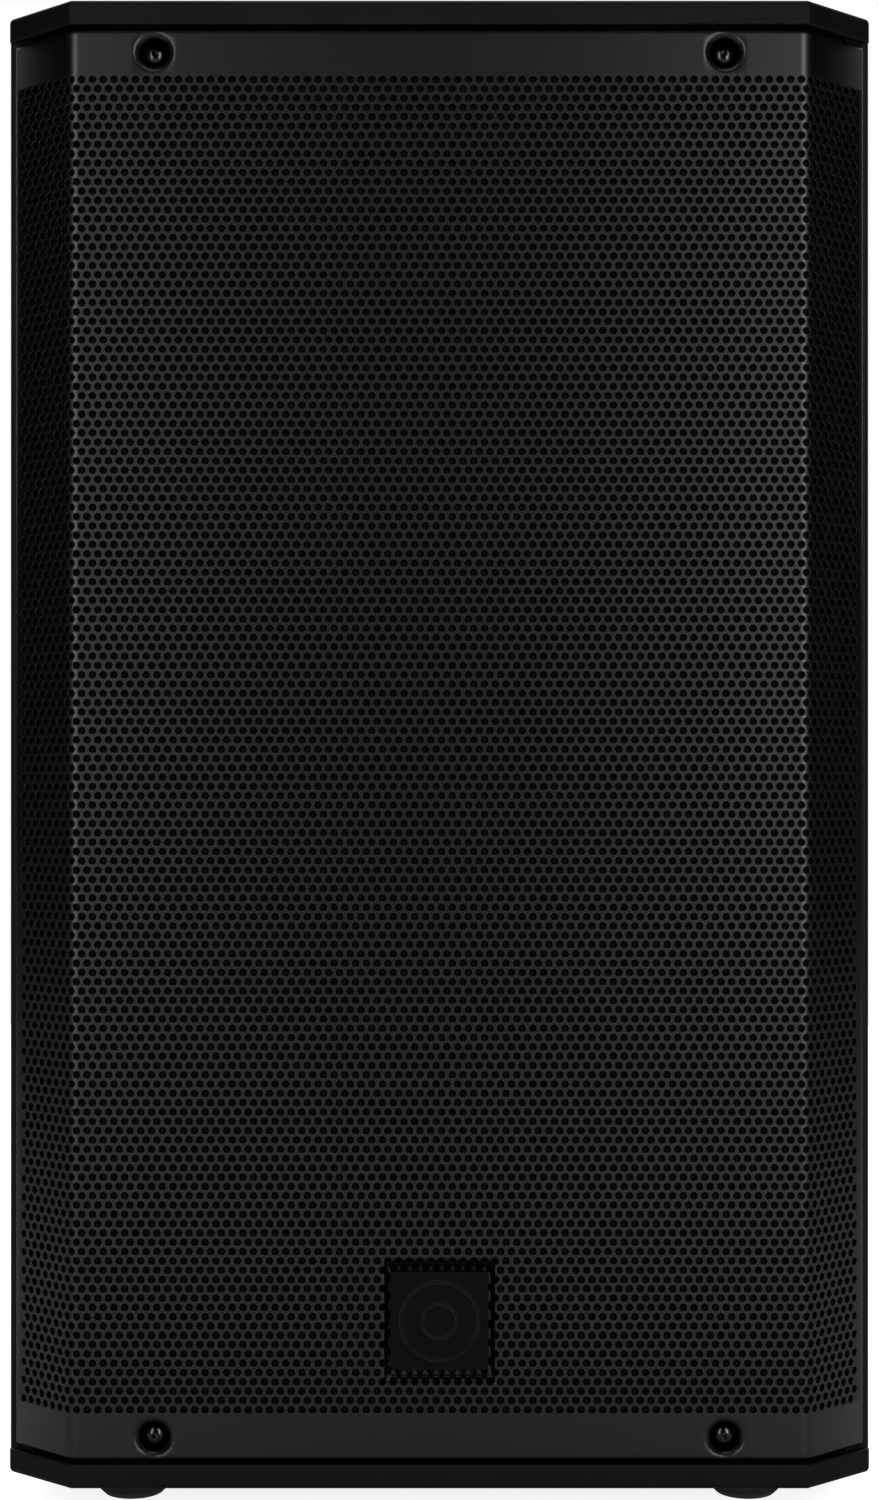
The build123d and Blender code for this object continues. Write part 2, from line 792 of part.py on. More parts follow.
with BuildPart() as amp_screws:
    for x, z in amp_screw_places:
        pan_screw((x, amp_back, z), (0, 1, 0), 3.8, 2.6, 1.9, 14.0)
save(amp_screws, "amp_screws")

fin_count = 21
fin_pitch = 9.5
fin_thickness = 3.0
sink_base = amp_back + 4.0
sink_tip = rear_y - 2.0
with BuildPart() as amp_heatsink:
    across(amp_back, sink_base, sink_size, 0, sink_z, 2)
    with BuildSketch(facing(sink_tip)) as fins:
        with Locations((0, sink_z)):
            with GridLocations(fin_pitch, 0, fin_count, 1):
                Rectangle(fin_thickness, sink_size[1] - 4)
    extrude(fins.sketch, amount=sink_tip - sink_base, mode=Mode.ADD)
save(amp_heatsink, "amp_heatsink")

housing_front = 84.0
housing_size = (196.0, 396.0)
gland_places = [(-12.0, 470.0), (12.0, 470.0)]
wire_radius = 2.5
with BuildPart() as amp_housing:
    across(housing_front, gasket_back, housing_size, 0, amp_z)
    hollow = (housing_size[0] - 2 * sheet, housing_size[1] - 2 * sheet)
    across(housing_front + sheet, gasket_back, hollow, 0, amp_z, mode=Mode.SUBTRACT)
    rod(housing_front, housing_front + sheet, wire_radius + 0.5, gland_places, Mode.SUBTRACT)
save(amp_housing, "amp_housing")

board_back = 150.0
board_front = board_back - 1.6
pot_back = 172.0
with BuildPart() as signal_board:
    across(board_front, board_back, (180.0, 210.0), 0, 212.0)
    for x, z in knob_places:
        across(board_back, pot_back, (17.0, 17.0), x, z)
    for x, z in [*button_places, preset_place]:
        across(board_back, pot_back, (10.0, 10.0), x, z)
save(signal_board, "signal_board")

power_y = 158.0
with BuildPart() as power_board:
    across(power_y, power_y + 1.6, (180.0, 160.0), 0, sink_z)
    for n in range(6):
        across(power_y + 1.6, gasket_back, (14.0, 20.0), -70.0 + 28.0 * n, sink_z - 50)
    rod(power_y - 45.0, power_y, 52.0, [(-30.0, sink_z)])
    rod(power_y - 45.0, power_y, 18.0, [(-30.0, sink_z)], Mode.SUBTRACT)
    rod(power_y - 40.0, power_y, 14.0, [(55.0, sink_z - 35), (55.0, sink_z), (55.0, sink_z + 35)])
save(power_board, "power_board")

flange_back_y = amp_back + 2.5
with BuildPart() as input_jacks:
    for x, z in jack_places:
        across(amp_back, flange_back_y, (26.0, 31.0), x, z, 2)
        rod(board_back + 0.2, amp_back, jack_hole - 0.3, [(x, z)])
        turned(
            [
                (flange_back_y + 0.1, 8.0),
                (flange_back_y + 0.1, 9.7),
                (amp_back - 13.0, 9.7),
                (amp_back - 13.0, 8.0),
            ],
            x,
            z,
            Mode.SUBTRACT,
        )
        rod(amp_back - 22.0, flange_back_y + 0.1, 3.25, [(x, z)], Mode.SUBTRACT)
        contacts = [(x + 5.7 * cos(radians(a)), z + 5.7 * sin(radians(a))) for a in (50, 130, 270)]
        rod(amp_back - 10.0, flange_back_y + 0.1, 1.3, contacts, Mode.SUBTRACT)
        slot_floor = amp_back - 5.0
        across(slot_floor, flange_back_y + 0.1, latch_slot, x, z + latch_rise, mode=Mode.SUBTRACT)
save(input_jacks, "input_jacks")


def jack_latch(place):
    """Release tab of an input jack, in its slot above the socket."""
    x, z = place
    with BuildPart() as latch:
        across(slot_floor + 2.4, flange_back_y + 3.0, (8.0, 4.0), x, z + latch_rise)
        fillet(latch.faces().sort_by(Axis.Y)[-1].edges(), radius=0.8)
    return latch


for letter, place in zip("ab", jack_places):
    save(jack_latch(place), f"jack_latch_{letter}")

with BuildPart() as link_jack:
    x, z = link_place
    across(amp_back, flange_back_y, (26.0, 31.0), x, z, 2)
    rod(board_back + 0.2, amp_back, jack_hole - 0.3, [(x, z)])
    rod(amp_back - 13.0, flange_back_y, 9.7, [(x, z)], Mode.SUBTRACT)
    pins = [(x + 5.7 * cos(radians(a)), z + 5.7 * sin(radians(a))) for a in (90, 230, 310)]
    rod(amp_back - 13.0, amp_back + 1.0, 1.2, pins)
save(link_jack, "link_jack")

inlet_cavity = (24.2, 16.4)
inlet_floor = amp_back - 15.0
with BuildPart() as mains_inlet:
    x, z = inlet_place
    across(amp_back, amp_back + 2.0, (40.0, 26.0), x, z, 3)
    across(amp_back - 20.0, amp_back, (27.0, 20.4), x, z)
    across(inlet_floor, amp_back + 2.0, inlet_cavity, x, z, 2, Mode.SUBTRACT)
    across(inlet_floor, amp_back, (2.0, 4.0), x - 7.0, z - 1.5)
    across(inlet_floor, amp_back, (2.0, 4.0), x + 7.0, z - 1.5)
    across(inlet_floor, amp_back, (2.0, 4.0), x, z + 3.5)
save(mains_inlet, "mains_inlet")

with BuildPart() as mains_outlet:
    x, z = outlet_place
    across(amp_back, amp_back + 2.0, (40.0, 26.0), x, z, 3)
    across(amp_back - 20.0, amp_back, (27.0, 20.4), x, z)
    across(inlet_floor, amp_back + 2.0, inlet_cavity, x, z, 2, Mode.SUBTRACT)
    across(inlet_floor, amp_back + 2.0, (19.6, 11.8), x, z, 2)
    for slot_x, slot_z in ((-7.0, -1.0), (7.0, -1.0), (0.0, 2.0)):
        across(inlet_floor + 2, amp_back + 2.0, (2.4, 4.6), x + slot_x, z + slot_z, mode=Mode.SUBTRACT)
save(mains_outlet, "mains_outlet")

rocker_throw = 16.0
with BuildPart() as power_switch_frame:
    x, z = switch_place
    across(amp_back, amp_back + 2.0, (30.0, 33.0), x, z, 2)
    across(amp_back - 22.0, amp_back, (25.0, 28.0), x, z)
    across(amp_back - 11.0, amp_back + 2.0, (21.0, 21.6), x, z, mode=Mode.SUBTRACT)
save(power_switch_frame, "power_switch_frame")

rocker_pivot = amp_back - 1.5
with BuildPart() as power_rocker:
    x, z = switch_place
    rest_tilt = radians(-rocker_throw / 2)
    tilted = Plane(origin=(x, rocker_pivot, z), x_dir=(0, cos(rest_tilt), sin(rest_tilt)), z_dir=(1, 0, 0))
    with BuildSketch(tilted.offset(-10.0)):
        with BuildLine():
            Polyline((-5, -6), (-5, 6), (2, 9.3), (5.5, 9.3), (4.3, 0), (5.5, -9.3), (2, -9.3), close=True)
        make_face()
    extrude(amount=20.0)
    fillet(power_rocker.edges().filter_by(Axis.X).sort_by(Axis.Y)[-3:], radius=0.5)
save(power_rocker, "power_rocker")

knob_radius = 8.0
knob_front = amp_back + 1.0
knob_back = amp_back + 15.0


def level_knob(place):
    """Fluted knob on its shaft, with a pointer groove that points straight up at rest."""
    x, z = place
    with BuildPart() as knob:
        rod(knob_front, knob_back, knob_radius, [place])
        chamfer(knob.faces().sort_by(Axis.Y)[-1].edges(), length=1.0)
        with BuildSketch(facing(knob_back)) as flutes:
            with Locations(place):
                with PolarLocations(knob_radius + 0.6, 12):
                    Circle(1.2)
        extrude(flutes.sketch, amount=11.0, mode=Mode.SUBTRACT)
        across(knob_back - 0.8, knob_back, (1.2, 6.0), x, z + 4.0, mode=Mode.SUBTRACT)
        rod(pot_back + 0.4, knob_front, 3.0, [place])
    return knob


for letter, place in zip("ab", knob_places):
    save(level_knob(place), f"level_knob_{letter}")

button_travel = 1.5


def push_button(place):
    """Square push button with its stem reaching back to the switch on the board."""
    with BuildPart() as button:
        across(pot_back + button_travel + 0.7, amp_back + 4.0, (7.0, 7.0), *place)
        fillet(button.faces().sort_by(Axis.Y)[-1].edges(), radius=0.7)
    return button


for letter, place in zip("ab", button_places):
    save(push_button(place), f"input_button_{letter}")
save(push_button(preset_place), "preset_button")

with BuildPart() as status_lamps:
    for place in lamp_places:
        rod(amp_back - 5.0, amp_back + 1.0, 1.5, [place])
    fillet(status_lamps.faces().filter_by(Axis.Y).group_by(Axis.Y)[-1].edges(), radius=0.9)
save(status_lamps, "status_lamps")

# ---------------------------------------------------------------- wiring inside the box
wire_gap = 0.2
woofer_terminal = (12.0, basket_back + wire_gap, woofer_z + 108.0)
hf_terminal = (-12.0, driver_back + cover_depth + wire_gap, horn_z - 20.0)
woofer_wire = [
    (12.0, housing_front - wire_gap, 470.0),
    (12.0, 66.0, 470.0),
    (12.0, 66.0, woofer_terminal[2]),
    woofer_terminal,
]
hf_wire = [
    (-12.0, housing_front - wire_gap, 470.0),
    (-12.0, 70.0, 470.0),
    (-12.0, 70.0, hf_terminal[2]),
    hf_terminal,
]
with BuildPart() as speaker_wiring:
    for route, bends in ((woofer_wire, (14.0, 20.0)), (hf_wire, (12.0, 20.0))):
        with BuildLine() as path:
            FilletPolyline(*route, radius=bends)
        start_plane = Plane(path.wires()[0] @ 0, z_dir=path.wires()[0] % 0)
        with BuildSketch(start_plane) as section:
            Circle(wire_radius)
        sweep(section.sketch, path=path.wires()[0])
        print("wire radii", bends, "length", round(path.wires()[0].length, 1))
save(speaker_wiring, "speaker_wiring")

# ---------------------------------------------------------------- pole socket, inserts, feet, screws
pole_flange = 84.0
pole_flange_bottom = floor_z - 2.5
with BuildPart() as pole_socket:
    with BuildSketch(Plane.XY.offset(pole_flange_bottom)):
        with Locations((0, pole_y)):
            RectangleRounded(pole_flange, pole_flange, 8)
    extrude(amount=2.5)
    with Locations((0, pole_y, pole_flange_bottom)):
        upward = (Align.CENTER, Align.CENTER, Align.MIN)
        tube_height = pole_top - pole_flange_bottom
        Cylinder(pole_outer_radius, tube_height, align=upward)
        Cylinder(pole_radius, tube_height - 3.0, align=upward, mode=Mode.SUBTRACT)
    with BuildSketch(Plane.XY.offset(pole_flange_bottom)):
        with Locations((0, pole_y)):
            with GridLocations(pole_screw_spacing, pole_screw_spacing, 2, 2):
                Circle(screw_hole)
    extrude(amount=2.5, mode=Mode.SUBTRACT)
save(pole_socket, "pole_socket")

fly_length = 26.0
fly_bore = 21.0
fly_collar = 15.0
fly_collar_thickness = 3.0


def fly_insert(face_plane):
    """Closed threaded insert whose mouth is flush with a panel's outer face; its collar is inside."""
    with BuildSketch(face_plane) as body:
        Circle(fly_body_radius - 0.1)
    extrude(body.sketch, amount=-fly_length)
    with BuildSketch(face_plane.offset(-wall_thickness - 0.1)) as collar:
        Circle(fly_collar)
    extrude(collar.sketch, amount=-fly_collar_thickness)
    with BuildSketch(face_plane) as bore:
        Circle(fly_hole_radius)
    extrude(bore.sketch, amount=-fly_bore, mode=Mode.SUBTRACT)


with BuildPart() as fly_inserts:
    for x, y in fly_places:
        fly_insert(Plane(origin=(x, y, height - 0.2), z_dir=(0, 0, 1)))
        fly_insert(Plane(origin=(x, y, floor_z + 0.2), z_dir=(0, 0, -1)))
    fly_insert(Plane(origin=(0, rear_panel_back - 0.2, rear_fly_z), z_dir=(0, 1, 0)))
save(fly_inserts, "fly_inserts")

foot_recess = 6.0
foot_seat = foot_recess + 2.0
with BuildPart() as feet:
    for x, y in foot_places:
        with BuildSketch(Plane(origin=(x, y, 0), x_dir=(0, 1, 0), z_dir=(1, 0, 0))) as foot:
            with BuildLine():
                Polyline(
                    (screw_hole, foot_seat),
                    (screw_hole, foot_height),
                    (foot_radius, foot_height),
                    (foot_radius - 0.8, 2.5),
                    (foot_radius - 3.3, 0),
                    (foot_recess, 0),
                    (foot_recess, foot_seat),
                    close=True,
                )
            make_face()
        revolve(foot.sketch, axis=Axis((x, y, 0), (0, 0, 1)))
save(feet, "feet")

handle_face = side_x - 0.2
cup_lip = 2.0
handle_head = 4.2
head_seat_depth = 1.3
with BuildPart() as cabinet_screws:
    for x, y in foot_places:
        pan_screw((x, y, foot_seat), (0, 0, -1), 4.6, 3.0, screw_radius, 16.0)
    for dx in (-pole_screw_spacing / 2, pole_screw_spacing / 2):
        for dy in (-pole_screw_spacing / 2, pole_screw_spacing / 2):
            pan_screw((dx, pole_y + dy, pole_flange_bottom), (0, 0, -1), 4.6, 3.0, screw_radius, 14.0)
    for sign in (-1, 1):
        for dy in (-handle_screw_grid[0] / 2, handle_screw_grid[0] / 2):
            for dz in (-handle_screw_grid[1] / 2, handle_screw_grid[1] / 2):
                seat = (sign * (handle_face - head_seat_depth), handle_y + dy, handle_z + dz)
                pan_screw(seat, (sign, 0, 0), handle_head, 1.2, screw_radius, 10.0)
save(cabinet_screws, "cabinet_screws")

# ---------------------------------------------------------------- side handles
cup_back = 160.0
cup_wall = 2.5
cup_mouth = (handle_opening[0] - 1.0, handle_opening[1] - 1.0)
grip_x = 195.0
grip_rise = 13.0
with BuildPart() as handle_cups:
    for sign in (-1, 1):
        mouth = Plane(origin=(sign * handle_face, handle_y, handle_z), x_dir=(0, 1, 0), z_dir=(sign, 0, 0))
        with BuildSketch(mouth) as lip:
            RectangleRounded(handle_flange[0] - 1, handle_flange[1] - 1, 19.5)
        extrude(lip.sketch, amount=-cup_lip)
        with BuildSketch(mouth) as shell:
            RectangleRounded(*cup_mouth, 18.5)
        extrude(shell.sketch, amount=cup_back - handle_face)
        with BuildSketch(mouth) as hollow_face:
            RectangleRounded(cup_mouth[0] - 2 * cup_wall, cup_mouth[1] - 2 * cup_wall, 16)
        extrude(hollow_face.sketch, amount=cup_back + cup_wall - handle_face, mode=Mode.SUBTRACT)
        with BuildSketch(mouth) as holes:
            with GridLocations(*handle_screw_grid, 2, 2):
                Circle(screw_hole)
        extrude(holes.sketch, amount=-cup_lip, mode=Mode.SUBTRACT)
        with BuildSketch(mouth) as head_seats:
            with GridLocations(*handle_screw_grid, 2, 2):
                Circle(handle_head + 0.2)
        extrude(head_seats.sketch, amount=-head_seat_depth, mode=Mode.SUBTRACT)
save(handle_cups, "handle_cups")

with BuildPart() as handle_grips:
    grip_length = cup_mouth[0] - 2 * cup_wall
    for sign in (-1, 1):
        with BuildSketch(Plane.XZ.offset(-(handle_y + grip_length / 2))) as grip_end:
            with Locations((sign * grip_x, handle_z + grip_rise)):
                SlotOverall(23.0, 14.0, rotation=90)
        extrude(grip_end.sketch, amount=grip_length)
save(handle_grips, "handle_grips")
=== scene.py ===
"""Looks of the PA speaker cabinet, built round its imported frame.

Metres, +Z up, the front faces -Y. The grille's flat pattern is worked out in millimetres.
"""

from math import cos, pi, radians, sin, sqrt, tan

import bmesh
import bpy
import numpy as np
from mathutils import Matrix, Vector


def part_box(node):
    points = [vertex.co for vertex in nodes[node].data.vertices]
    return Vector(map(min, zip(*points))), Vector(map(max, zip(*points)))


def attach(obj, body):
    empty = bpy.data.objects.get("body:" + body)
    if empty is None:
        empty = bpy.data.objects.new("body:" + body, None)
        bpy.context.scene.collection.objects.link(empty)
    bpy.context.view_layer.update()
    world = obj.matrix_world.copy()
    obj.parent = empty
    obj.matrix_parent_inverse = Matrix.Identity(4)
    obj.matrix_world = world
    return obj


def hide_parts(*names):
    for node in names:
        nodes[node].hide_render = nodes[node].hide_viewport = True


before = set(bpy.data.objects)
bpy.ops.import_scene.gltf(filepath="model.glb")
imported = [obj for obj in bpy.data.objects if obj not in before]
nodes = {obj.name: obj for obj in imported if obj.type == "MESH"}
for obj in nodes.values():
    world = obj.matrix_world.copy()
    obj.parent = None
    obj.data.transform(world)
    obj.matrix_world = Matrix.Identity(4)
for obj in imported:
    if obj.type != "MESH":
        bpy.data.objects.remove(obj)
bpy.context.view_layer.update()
mm = 0.001

# ---------------------------------------------------------------- places and sizes from the frame
grille_low, grille_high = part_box("grille")
badge_low, badge_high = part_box("badge_plate")
screws_low, screws_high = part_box("grille_screws")
foam_low, foam_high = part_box("grille_foam")
screw_head = 4.8 * mm  # radius of a grille screw's head
plate_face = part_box("amp_plate")[1].y


# ================================================================ camera, floor and light
def make_camera():
    """A long lens straight in front, a little below the cabinet's middle."""
    data = bpy.data.cameras.new("camera")
    data.lens = 52.5
    data.sensor_width = 36.0
    data.shift_y = 0.0243
    camera = bpy.data.objects.new("camera", data)
    camera.location = (0.0, -1.217, 0.340)
    camera.rotation_euler = (radians(90.0), 0.0, 0.0)
    bpy.context.scene.collection.objects.link(camera)
    bpy.context.scene.camera = camera


def make_floor():
    """Plain white studio floor, lit from below so that it stays pale under the cabinet."""
    reach = 1.9
    mesh = bpy.data.meshes.new("floor")
    corners = [(-reach, -reach, 0), (reach, -reach, 0), (reach, reach, 0), (-reach, reach, 0)]
    mesh.from_pydata(corners, [], [(0, 1, 2, 3)])
    floor = bpy.data.objects.new("floor", mesh)
    bpy.context.scene.collection.objects.link(floor)
    material = bpy.data.materials.new("pale_floor")
    material.use_nodes = True
    shader = material.node_tree.nodes["Principled BSDF"]
    shader.inputs["Base Color"].default_value = (0.6, 0.6, 0.6, 1)
    shader.inputs["Roughness"].default_value = 0.8
    shader.inputs["Specular IOR Level"].default_value = 0.1
    shader.inputs["Emission Color"].default_value = (1, 1, 1, 1)
    seen = material.node_tree.nodes.new("ShaderNodeLightPath")
    glow = material.node_tree.nodes.new("ShaderNodeMapRange")
    glow.inputs["To Min"].default_value = 0.06
    glow.inputs["To Max"].default_value = 0.85
    material.node_tree.links.new(seen.outputs["Is Camera Ray"], glow.inputs["Value"])
    material.node_tree.links.new(glow.outputs["Result"], shader.inputs["Emission Strength"])
    mesh.materials.append(material)


def make_world():
    """White seen directly; as light, bright behind the cabinet and dim in front of it."""
    world = bpy.data.worlds.new("studio")
    bpy.context.scene.world = world
    world.use_nodes = True
    tree = world.node_tree
    background = tree.nodes["Background"]
    direction = tree.nodes.new("ShaderNodeTexCoord")
    split = tree.nodes.new("ShaderNodeSeparateXYZ")
    behind = tree.nodes.new("ShaderNodeMapRange")
    behind.interpolation_type = "SMOOTHSTEP"
    behind.inputs["From Min"].default_value = 0.5
    behind.inputs["From Max"].default_value = 0.9
    behind.inputs["To Min"].default_value = 0.004
    behind.inputs["To Max"].default_value = 0.9
    path = tree.nodes.new("ShaderNodeLightPath")
    strength = tree.nodes.new("ShaderNodeMix")
    strength.inputs["B"].default_value = 1.0
    tree.links.new(direction.outputs["Generated"], split.inputs[0])
    tree.links.new(split.outputs["Y"], behind.inputs["Value"])
    tree.links.new(behind.outputs["Result"], strength.inputs["A"])
    tree.links.new(path.outputs["Is Camera Ray"], strength.inputs["Factor"])
    tree.links.new(strength.outputs["Result"], background.inputs["Strength"])
    background.inputs["Color"].default_value = (1, 1, 1, 1)


def softbox(name, azimuth, elevation, distance, size, brightness):
    """Area light facing the cabinet's middle; azimuth 0 is in front of it, 90 on its +X side."""
    data = bpy.data.lights.new(name, "AREA")
    data.shape = "RECTANGLE"
    data.size, data.size_y = size
    data.energy = brightness * 4 * size[0] * size[1]
    light = bpy.data.objects.new(name, data)
    turn, rise = radians(azimuth), radians(elevation)
    back = Vector((sin(turn) * cos(rise), -cos(turn) * cos(rise), sin(rise)))
    light.location = Vector((0, 0, 0.36)) + back * distance
    light.rotation_euler = back.to_track_quat("Z", "Y").to_euler()
    bpy.context.scene.collection.objects.link(light)


def make_lights():
    """Two tall key lights beside the camera, and dimmer ones above, beside and behind."""
    softbox("key_left", -27, 8, 2.2, (0.5, 1.8), 4.4)
    softbox("key_right", 27, 8, 2.2, (0.5, 1.8), 6.2)
    softbox("overhead", 0, 88, 2.2, (1.6, 1.6), 1.5)
    softbox("side_left", -132, 25, 2.4, (1.0, 1.4), 3.0)
    softbox("side_right", 132, 25, 2.4, (1.0, 1.4), 3.0)
    softbox("rear_left", -157, 12, 2.4, (0.6, 1.6), 3.2)
    softbox("rear_right", 157, 12, 2.4, (0.6, 1.6), 3.2)


make_camera()
make_floor()
make_world()
make_lights()
bpy.context.scene.view_settings.view_transform = "Standard"


# ================================================================ materials
class Surface:
    """A procedural material under construction; textures are placed by object coordinates."""

    def __init__(self, name):
        self.material = bpy.data.materials.new("look_" + name)
        self.material.use_nodes = True
        self.tree = self.material.node_tree
        self.shader = self.tree.nodes["Principled BSDF"]
        self.place = self.add("ShaderNodeTexCoord").outputs["Object"]

    def add(self, kind, **settings):
        node = self.tree.nodes.new(kind)
        for key, value in settings.items():
            setattr(node, key, value)
        return node

    def link(self, output, to):
        self.tree.links.new(output, to)

    def stretched(self, scale):
        """Object coordinates stretched along the axes, for brushed or drawn surfaces."""
        mapping = self.add("ShaderNodeMapping")
        mapping.inputs["Scale"].default_value = scale
        self.link(self.place, mapping.inputs["Vector"])
        return mapping.outputs["Vector"]

    def noise(self, size, detail=3.0, rough=0.55, place=None):
        """Noise whose features are about size metres across."""
        node = self.add("ShaderNodeTexNoise")
        node.inputs["Scale"].default_value = 1.0 / size
        node.inputs["Detail"].default_value = detail
        node.inputs["Roughness"].default_value = rough
        self.link(place or self.place, node.inputs["Vector"])
        return node.outputs["Fac"]

    def cells(self, size, feature="F1"):
        node = self.add("ShaderNodeTexVoronoi", feature=feature)
        node.inputs["Scale"].default_value = 1.0 / size
        self.link(self.place, node.inputs["Vector"])
        return node.outputs["Distance"]

    def span(self, value, low, high, to_low=0.0, to_high=1.0):
        """Value from low..high mapped to to_low..to_high."""
        node = self.add("ShaderNodeMapRange")
        node.inputs["From Min"].default_value = low
        node.inputs["From Max"].default_value = high
        node.inputs["To Min"].default_value = to_low
        node.inputs["To Max"].default_value = to_high
        self.link(value, node.inputs["Value"])
        return node.outputs["Result"]

    def math(self, operation, a, b):
        node = self.add("ShaderNodeMath", operation=operation)
        for socket, value in zip(node.inputs, (a, b)):
            if isinstance(value, (int, float)):
                socket.default_value = value
            else:
                self.link(value, socket)
        return node.outputs["Value"]

    def blend(self, factor, a, b):
        """Mix of two colours, each a tuple or another node's output."""
        node = self.add("ShaderNodeMix", data_type="RGBA")
        self.link(factor, node.inputs["Factor"])
        for socket, value in ((node.inputs[6], a), (node.inputs[7], b)):
            if isinstance(value, tuple):
                socket.default_value = (*value, 1.0)
            else:
                self.link(value, socket)
        return node.outputs[2]

    def edges(self, width):
        """1 on outside and inside edges, 0 on open faces."""
        bevel = self.add("ShaderNodeBevel", samples=4)
        bevel.inputs["Radius"].default_value = width
        geometry = self.add("ShaderNodeNewGeometry")
        dot = self.add("ShaderNodeVectorMath", operation="DOT_PRODUCT")
        self.link(bevel.outputs["Normal"], dot.inputs[0])
        self.link(geometry.outputs["Normal"], dot.inputs[1])
        return self.span(dot.outputs["Value"], 0.995, 0.9)

    def bumps(self, *layers):
        """Each layer is (height, depth in metres, strength)."""
        normal = None
        for height, depth, strength in layers:
            bump = self.add("ShaderNodeBump")
            bump.inputs["Distance"].default_value = depth
            bump.inputs["Strength"].default_value = strength
            self.link(height, bump.inputs["Height"])
            if normal:
                self.link(normal, bump.inputs["Normal"])
            normal = bump.outputs["Normal"]
        self.link(normal, self.shader.inputs["Normal"])

    def colour(self, output):
        self.link(output, self.shader.inputs["Base Color"])

    def roughness(self, output):
        self.link(output, self.shader.inputs["Roughness"])

    def set(self, **values):
        names = {"metal": "Metallic", "specular": "Specular IOR Level", "sheen": "Sheen Weight",
                 "tint": "Specular Tint"}
        for key, value in values.items():
            self.shader.inputs[names[key]].default_value = value


def paint_surface(name, dark, light, grain, depth, rough=(0.42, 0.6), edge=None, **values):
    """Sprayed texture paint: rounded grains, a fine overspray, cloudy tone, and a painted highlight: a
    lighter edge colour, when given, along its edges.
    """
    s = Surface(name)
    grains = s.cells(grain, "SMOOTH_F1")
    spray = s.noise(grain * 0.35, 4.0)
    cloud = s.noise(0.045, 3.0)
    tone = s.blend(s.span(cloud, 0.35, 0.65), dark, light)
    if edge:
        # Painted highlight: the lighter edge colour is blended in along edges, in noisy patches.
        edge_highlight = s.math("MULTIPLY", s.edges(1.2 * mm), s.span(s.noise(6 * mm), 0.35, 0.6))
        tone = s.blend(edge_highlight, tone, edge)
    s.colour(tone)
    s.roughness(s.span(spray, 0.3, 0.7, *rough))
    s.bumps((grains, depth, 0.6), (spray, depth * 0.4, 0.5))
    s.set(**values)
    return s


def textured_paint(*place, **values):
    return paint_surface(*place, **values).material


def grille_coating(name):
    """Powder coat of the grille, with painted shade in the four screw cups, which are made near black and
    fully metallic so that they show no light.
    """
    s = paint_surface(name, (0.0009, 0.0008, 0.0009), (0.0015, 0.0014, 0.0015), 0.35 * mm, 0.006 * mm,
                      (0.30, 0.38), (0.006, 0.006, 0.0063), tint=(1.0, 0.92, 0.99, 1.0))
    cup_x = screws_high.x - screw_head
    middle = (screws_low.z + screws_high.z) / 2
    cup_rise = screws_high.z - screw_head - middle
    split = s.add("ShaderNodeSeparateXYZ")
    s.link(s.place, split.inputs[0])
    across = s.math("SUBTRACT", s.math("ABSOLUTE", split.outputs["X"], 0.0), cup_x)
    level = s.math("SUBTRACT", split.outputs["Z"], middle)
    up = s.math("SUBTRACT", s.math("ABSOLUTE", level, 0.0), cup_rise)
    squared = s.math("ADD", s.math("MULTIPLY", across, across), s.math("MULTIPLY", up, up))
    # Painted shade: this mask is 1 within about 7 mm of each screw's centre.
    cup_shade = s.span(s.math("SQRT", squared, 0.0), 6.9 * mm, 7.1 * mm, 1.0, 0.0)
    painted = s.shader.inputs["Base Color"].links[0].from_socket
    # Painted shade: inside the cups the colour is blended to near black and made fully metallic, so neither
    # light nor reflection shows there.
    s.colour(s.blend(cup_shade, painted, (0.0006, 0.0006, 0.0006)))
    s.link(cup_shade, s.shader.inputs["Metallic"])
    return s.material


def moulded(name, dark, light, rough, grain=0.35 * mm, depth=0.02 * mm, edge=None, **values):
    """Moulded plastic or rubber with a fine spark-eroded grain; an edge colour, when given, is a painted
    highlight along its edges.
    """
    s = Surface(name)
    tone = s.blend(s.span(s.noise(0.02), 0.35, 0.65), dark, light)
    if edge:
        # Painted highlight: a lighter colour blended in along edges.
        tone = s.blend(s.edges(0.5 * mm), tone, edge)
    s.colour(tone)
    fine = s.noise(grain, 3.0)
    s.roughness(s.span(s.noise(9 * mm, 4.0), 0.3, 0.7, *rough))
    s.bumps((fine, depth, 0.5))
    s.set(**values)
    return s.material


def drawn_metal(name, dark, light, rough, along=(1, 1, 0.02), depth=0.01 * mm, **values):
    """Metal with fine lines drawn along one axis."""
    s = Surface(name)
    lines = s.noise(0.25 * mm, 3.0, place=s.stretched(along))
    s.colour(s.blend(s.span(lines, 0.3, 0.7), dark, light))
    s.roughness(s.span(s.noise(7 * mm, 3.0), 0.3, 0.7, *rough))
    s.bumps((lines, depth, 0.4))
    s.set(metal=1.0, **values)
    return s.material


def open_foam(name):
    """Reticulated foam: open cells with dark pores."""
    s = Surface(name)
    pores = s.cells(0.9 * mm)
    cloud = s.noise(0.03)
    tone = s.blend(s.span(pores, 0.15, 0.6), (0.0006, 0.0006, 0.0006), (0.003, 0.003, 0.0032))
    s.colour(s.blend(s.span(cloud, 0.4, 0.7, 0.0, 0.4), tone, (0.0015, 0.0015, 0.0015)))
    s.roughness(s.span(pores, 0.0, 0.7, 0.85, 1.0))
    s.bumps((pores, 0.3 * mm, 1.0), (s.noise(0.25 * mm), 0.05 * mm, 0.5))
    s.set(specular=0.1)
    return s.material


def stained_board(name):
    """Black stained plywood with long grain."""
    s = Surface(name)
    grain = s.noise(1.5 * mm, 6.0, 0.65, s.stretched((0.06, 1.0, 1.0)))
    s.colour(s.blend(s.span(grain, 0.3, 0.7), (0.012, 0.011, 0.010), (0.035, 0.030, 0.026)))
    s.roughness(s.span(grain, 0.3, 0.7, 0.6, 0.85))
    s.bumps((grain, 0.08 * mm, 0.6))
    return s.material


